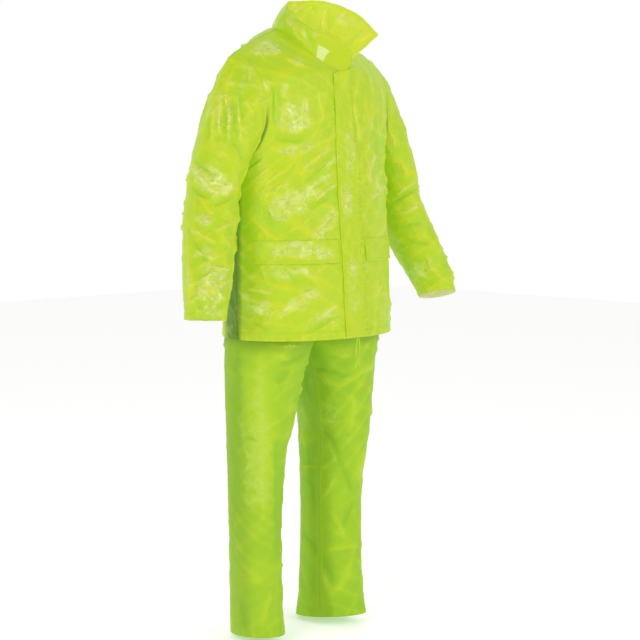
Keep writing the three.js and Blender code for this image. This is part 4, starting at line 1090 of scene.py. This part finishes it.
def addLegs():
    # folds that ease out at the inseam, the stitched hem, and the top drawn in below the jacket
    rows, columns = trouserLeg["grid"]
    bottom, top = trouserLeg["rows"][0][0], trouserLeg["rows"][-1][0]
    heights = bottom + (top - bottom) * np.linspace(0, 1, rows)
    u, height = np.meshgrid(np.linspace(0.0004, 0.9996, columns), heights)
    near = np.minimum(u, 1 - u)
    for name, side in (("right", -1), ("left", 1)):
        base = legSurface(u, height, side)
        normals = facing(base, side)
        relief = clothRelief(base, normals, trouserFolds, crumple=0.8) * softStep(near / 0.03)
        relief += hemRelief(height - bottom, u * trouserLeg["round"])
        under = -trouserLeg["tuck"] * softStep((height - 735) / 20)
        # painted shade on the inner legs and on the outer sides under the jacket, and a painted shadow of the
        # jacket just below its hem
        insideShade = 0.3 * softStep((0.09 - near) / 0.06)
        outsideShade = 0.25 * softStep((base[..., 1] + 30) / 40) * softStep((np.abs(base[..., 0]) - 165) / 30)
        hemShadow = 0.5 * softStep((height - 705) / 40)
        keepPiece(f"{name}_leg_cloth", f"{name}_leg", base + normals * (relief + under)[..., None], side,
                  trouserLeg, [trouserCloth], relief,
                  shade=np.maximum(np.maximum(insideShade, outsideShade), hemShadow))


waistband = {
    "radii": (168, 114), "middle": -8, "from": 952.3, "height": 40, "gathers": 64, "grid": (14, 420),
    "cut": (980, 40), "wall": 1.6,
}


def addWaistband():
    # elastic ring: an oval whose wall swells in and out in narrow gathers
    rows, columns = waistband["grid"]
    turn, v = np.meshgrid(np.linspace(0, 2 * np.pi, columns, endpoint=False), np.linspace(0, 1, rows))
    gathers = np.sin(waistband["gathers"] * turn + 0.8 * np.sin(5 * turn))
    swell = 1.2 * gathers * (0.7 + 0.3 * np.sin(9 * v + 3 * turn))
    wide, deep = waistband["radii"]
    grid = np.stack([(wide + swell) * np.sin(turn), waistband["middle"] - (deep + swell) * np.cos(turn),
                     waistband["from"] + waistband["height"] * v], -1)
    # the swell is also its fold mark, which paints shade and light on the gathers
    keepPiece("waistband_cloth", "waistband", grid, 1, waistband, [trouserCloth], swell,
              ring=True)


addLegs()
addWaistband()
print("trousers made")

stitch = {
    "pitch": 3.6, "length": 2.6, "thick": 0.55, "above": 0.12,
    # levels of the hems' lines in the shells' grids
    "hem": float(rowShare(0.031)), "cuff": 0.952, "trouserHem": 0.021, "shoulder": 0.992,
}


def addBlocks(name, centres, along, normals, size, material):
    # small blocks: each middle plus or minus half the length, width and height, with a narrower top
    side = unit(np.cross(normals, along))
    long, wide, high = [s / 2 for s in size]
    corners = np.array([(a, b, c) for c in (-1, 1) for b in (-1, 1) for a in (-1, 1)], float)
    points = (centres[:, None] + corners[None, :, 0:1] * long * along[:, None]
              + corners[None, :, 1:2] * wide * (1 - 0.35 * (corners[None, :, 2:3] > 0)) * side[:, None]
              + corners[None, :, 2:3] * high * normals[:, None])
    box = np.array([(0, 2, 3, 1), (4, 5, 7, 6), (0, 1, 5, 4), (2, 6, 7, 3), (0, 4, 6, 2), (1, 3, 7, 5)])
    faces = (np.arange(len(centres))[:, None, None] * 8 + box[None]).reshape(-1, 4)
    addMesh(name, points.reshape(-1, 3), faces, [material], flat=np.ones(len(faces), bool))


def stitchRow(node, us, vs):
    # stitches at an even pitch along a line of a panel's surface
    grid, normals = surfaces[node]
    points, out = onSurface(grid, us, vs), onSurface(normals, us, vs)
    run = np.concatenate([[0], np.cumsum(np.linalg.norm(np.diff(points, axis=0), axis=1))])
    at = np.arange(stitch["pitch"], run[-1] - 1, stitch["pitch"])
    middle, ahead, normal = [np.stack([np.interp(places, run, column) for column in values.T], -1)
                             for places, values in ((at, points), (at + 1, points), (at, out))]
    normal = unit(normal)
    along = unit(ahead - middle)
    along = unit(along - normal * (along * normal).sum(-1, keepdims=True))
    return middle + normal * stitch["above"], along, normal


def addStitching(name, rows):
    # one piece from several rows of stitches
    centres, along, normals = [np.concatenate(parts) for parts in zip(*[stitchRow(*row) for row in rows])]
    size = (stitch["length"], stitch["thick"], stitch["thick"])
    addBlocks(name, centres, along, normals, size, seamThread)


def across(node, start, end, v, steps=400):
    # a line across a piece at one level
    return node, np.linspace(start, end, steps), np.full(steps, v)


def upward(node, u, start, end, steps=400):
    # a line up a piece at one share of its width
    return node, np.full(steps, u), np.linspace(start, end, steps)


def addJacketStitching():
    # both fronts' and the back's hem, the storm flap's edges, the collar's four edges and the shoulder seams
    sides = ("right", "left")
    addStitching("front_hem_stitching",
                 [across(f"{side}_front", 0.02, 0.99, stitch["hem"]) for side in sides])
    addStitching("back_hem_stitching", [across("back", 0.01, 0.99, stitch["hem"], 900)])
    addStitching("flap_stitching", [upward("storm_flap", u, 0.004, top, 900)
                                    for u, top in ((0.09, 0.99), (0.95, 0.985), (0.89, 0.985))])
    for side in sides:
        addSideStitching(side)
    addStitching("collar_stitching",
                 [across("collar", 0.012, 0.988, 0.92, 900), across("collar", 0.01, 0.99, 0.05, 900),
                  upward("collar", 0.012, 0.05, 0.92), upward("collar", 0.988, 0.05, 0.92)])
    addStitching("shoulder_stitching",
                 [across(f"{side}_front", 0.03, 0.97, stitch["shoulder"]) for side in sides])


def addSideStitching(side):
    # the pocket flap's edges, the armhole and side seams, the cuff, and the leg's hem and inseam
    flap, front, leg = f"{side}_pocket_flap", f"{side}_front", f"{side}_leg"
    addStitching(f"{side}_pocket_stitching", [across(flap, 0.03, 0.97, 0.1), across(flap, 0.01, 0.99, 0.93),
                                              upward(flap, 0.03, 0.1, 0.93), upward(flap, 0.97, 0.1, 0.93)])
    addStitching(f"{side}_seam_stitching", [upward(front, 0.985, rowShare(0.66), 0.985),
                                            upward(front, 0.982, 0.02, rowShare(0.62))])
    addStitching(f"{side}_cuff_stitching", [across(f"{side}_sleeve", 0, 0.994, stitch["cuff"], 700)])
    addStitching(f"{side}_trouser_hem_stitching", [across(leg, 0.003, 0.997, stitch["trouserHem"], 700)])
    addStitching(f"{side}_inseam_stitching", [upward(leg, 0.012, 0.03, 0.72, 900)])


def addTeeth(point, normal):
    # two rows of blocks, each half of their distance to one side of the zip's line
    teeth = zipStrip["teeth"]
    upAxis = unit(np.gradient(point, axis=0))
    centres = np.concatenate([point + np.array([way * teeth["apart"] / 2, 0, 0]) for way in (-1, 1)])
    addBlocks("zip_teeth", centres, np.tile(upAxis, (2, 1)), np.tile(normal, (2, 1)), teeth["size"], zipTeeth)


addJacketStitching()
addTeeth(*zipLine)
print("stitching and zip teeth made")

# metres and watts
studio = {
    "floor": -1.53, "floorHalf": 9.0, "floorGlow": 0.32, "world": 1.0, "front": 0.5, "lamp": 2.2,
    "aim": (0, 0, -0.5), "key": 68, "keyPlace": (-3.9, -1.3, 0.9), "fill": 48, "fillPlace": (0.9, -4.0, 0.9),
}


def addFloor():
    # one pale square that lies just below the hems
    half, height = studio["floorHalf"], studio["floor"]
    mesh = bpy.data.meshes.new("studioFloor")
    corners = [(x, y, height) for x, y in ((-half, -half), (half, -half), (half, half), (-half, half))]
    mesh.from_pydata(corners, [], [(0, 1, 2, 3)])
    web = newFinish("studioFloor")
    tone = web.mix(web.noise(3.0) * 0.1, (0.93, 0.93, 0.92), (0.9, 0.9, 0.89))
    mesh.materials.append(web.surface({"Base Color": tone, "Roughness": 0.9, "Specular IOR Level": 0.1,
                                       "Emission Color": (1, 1, 1, 1),
                                       "Emission Strength": studio["floorGlow"]}))
    floor = bpy.data.objects.new("studioFloor", mesh)
    bpy.context.scene.collection.objects.link(floor)


def addBackdrop():
    # white to look at, but as a light it is dimmer behind the camera, so that the lamps do the modelling
    world = bpy.data.worlds.new("studioWorld")
    web = Web(world)
    way = web.node("ShaderNodeTexCoord", output="Generated")
    behind = web.node("ShaderNodeVectorMath", {"operation": "DOT_PRODUCT"},
                      {0: way, 1: tuple(viewAxes()[1])}, "Value")
    light = web.node("ShaderNodeMapRange", {}, {"Value": behind, "From Min": -0.1, "From Max": 0.6,
                                                "To Min": studio["front"], "To Max": studio["world"]})
    seen = web.node("ShaderNodeLightPath", output="Is Camera Ray")
    strength = web.node("ShaderNodeMath", {"operation": "MAXIMUM"}, {0: light, 1: seen})
    shell = web.node("ShaderNodeBackground", {}, {"Color": (1, 1, 1, 1), "Strength": strength})
    web.node("ShaderNodeOutputWorld", {}, {"Surface": shell})
    bpy.context.scene.world = world


def addLight(name, place, aim, size, power):
    # a soft disk turned so that its way down points from its place to its aim
    data = bpy.data.lights.new(name, "AREA")
    data.shape, data.size, data.energy = "DISK", size, power
    light = bpy.data.objects.new(name, data)
    light.location = place
    way = np.array(aim, float) - np.array(place, float)
    light.rotation_euler = (math.atan2(math.hypot(way[0], way[1]), -way[2]), 0, math.atan2(-way[0], way[1]))
    bpy.context.scene.collection.objects.link(light)


addFloor()
addBackdrop()
addLight("keyLight", studio["keyPlace"], studio["aim"], studio["lamp"], studio["key"])
addLight("fillLight", studio["fillPlace"], studio["aim"], studio["lamp"], studio["fill"])
bpy.context.scene.view_settings.view_transform = "Standard"
print("floor and lights made")
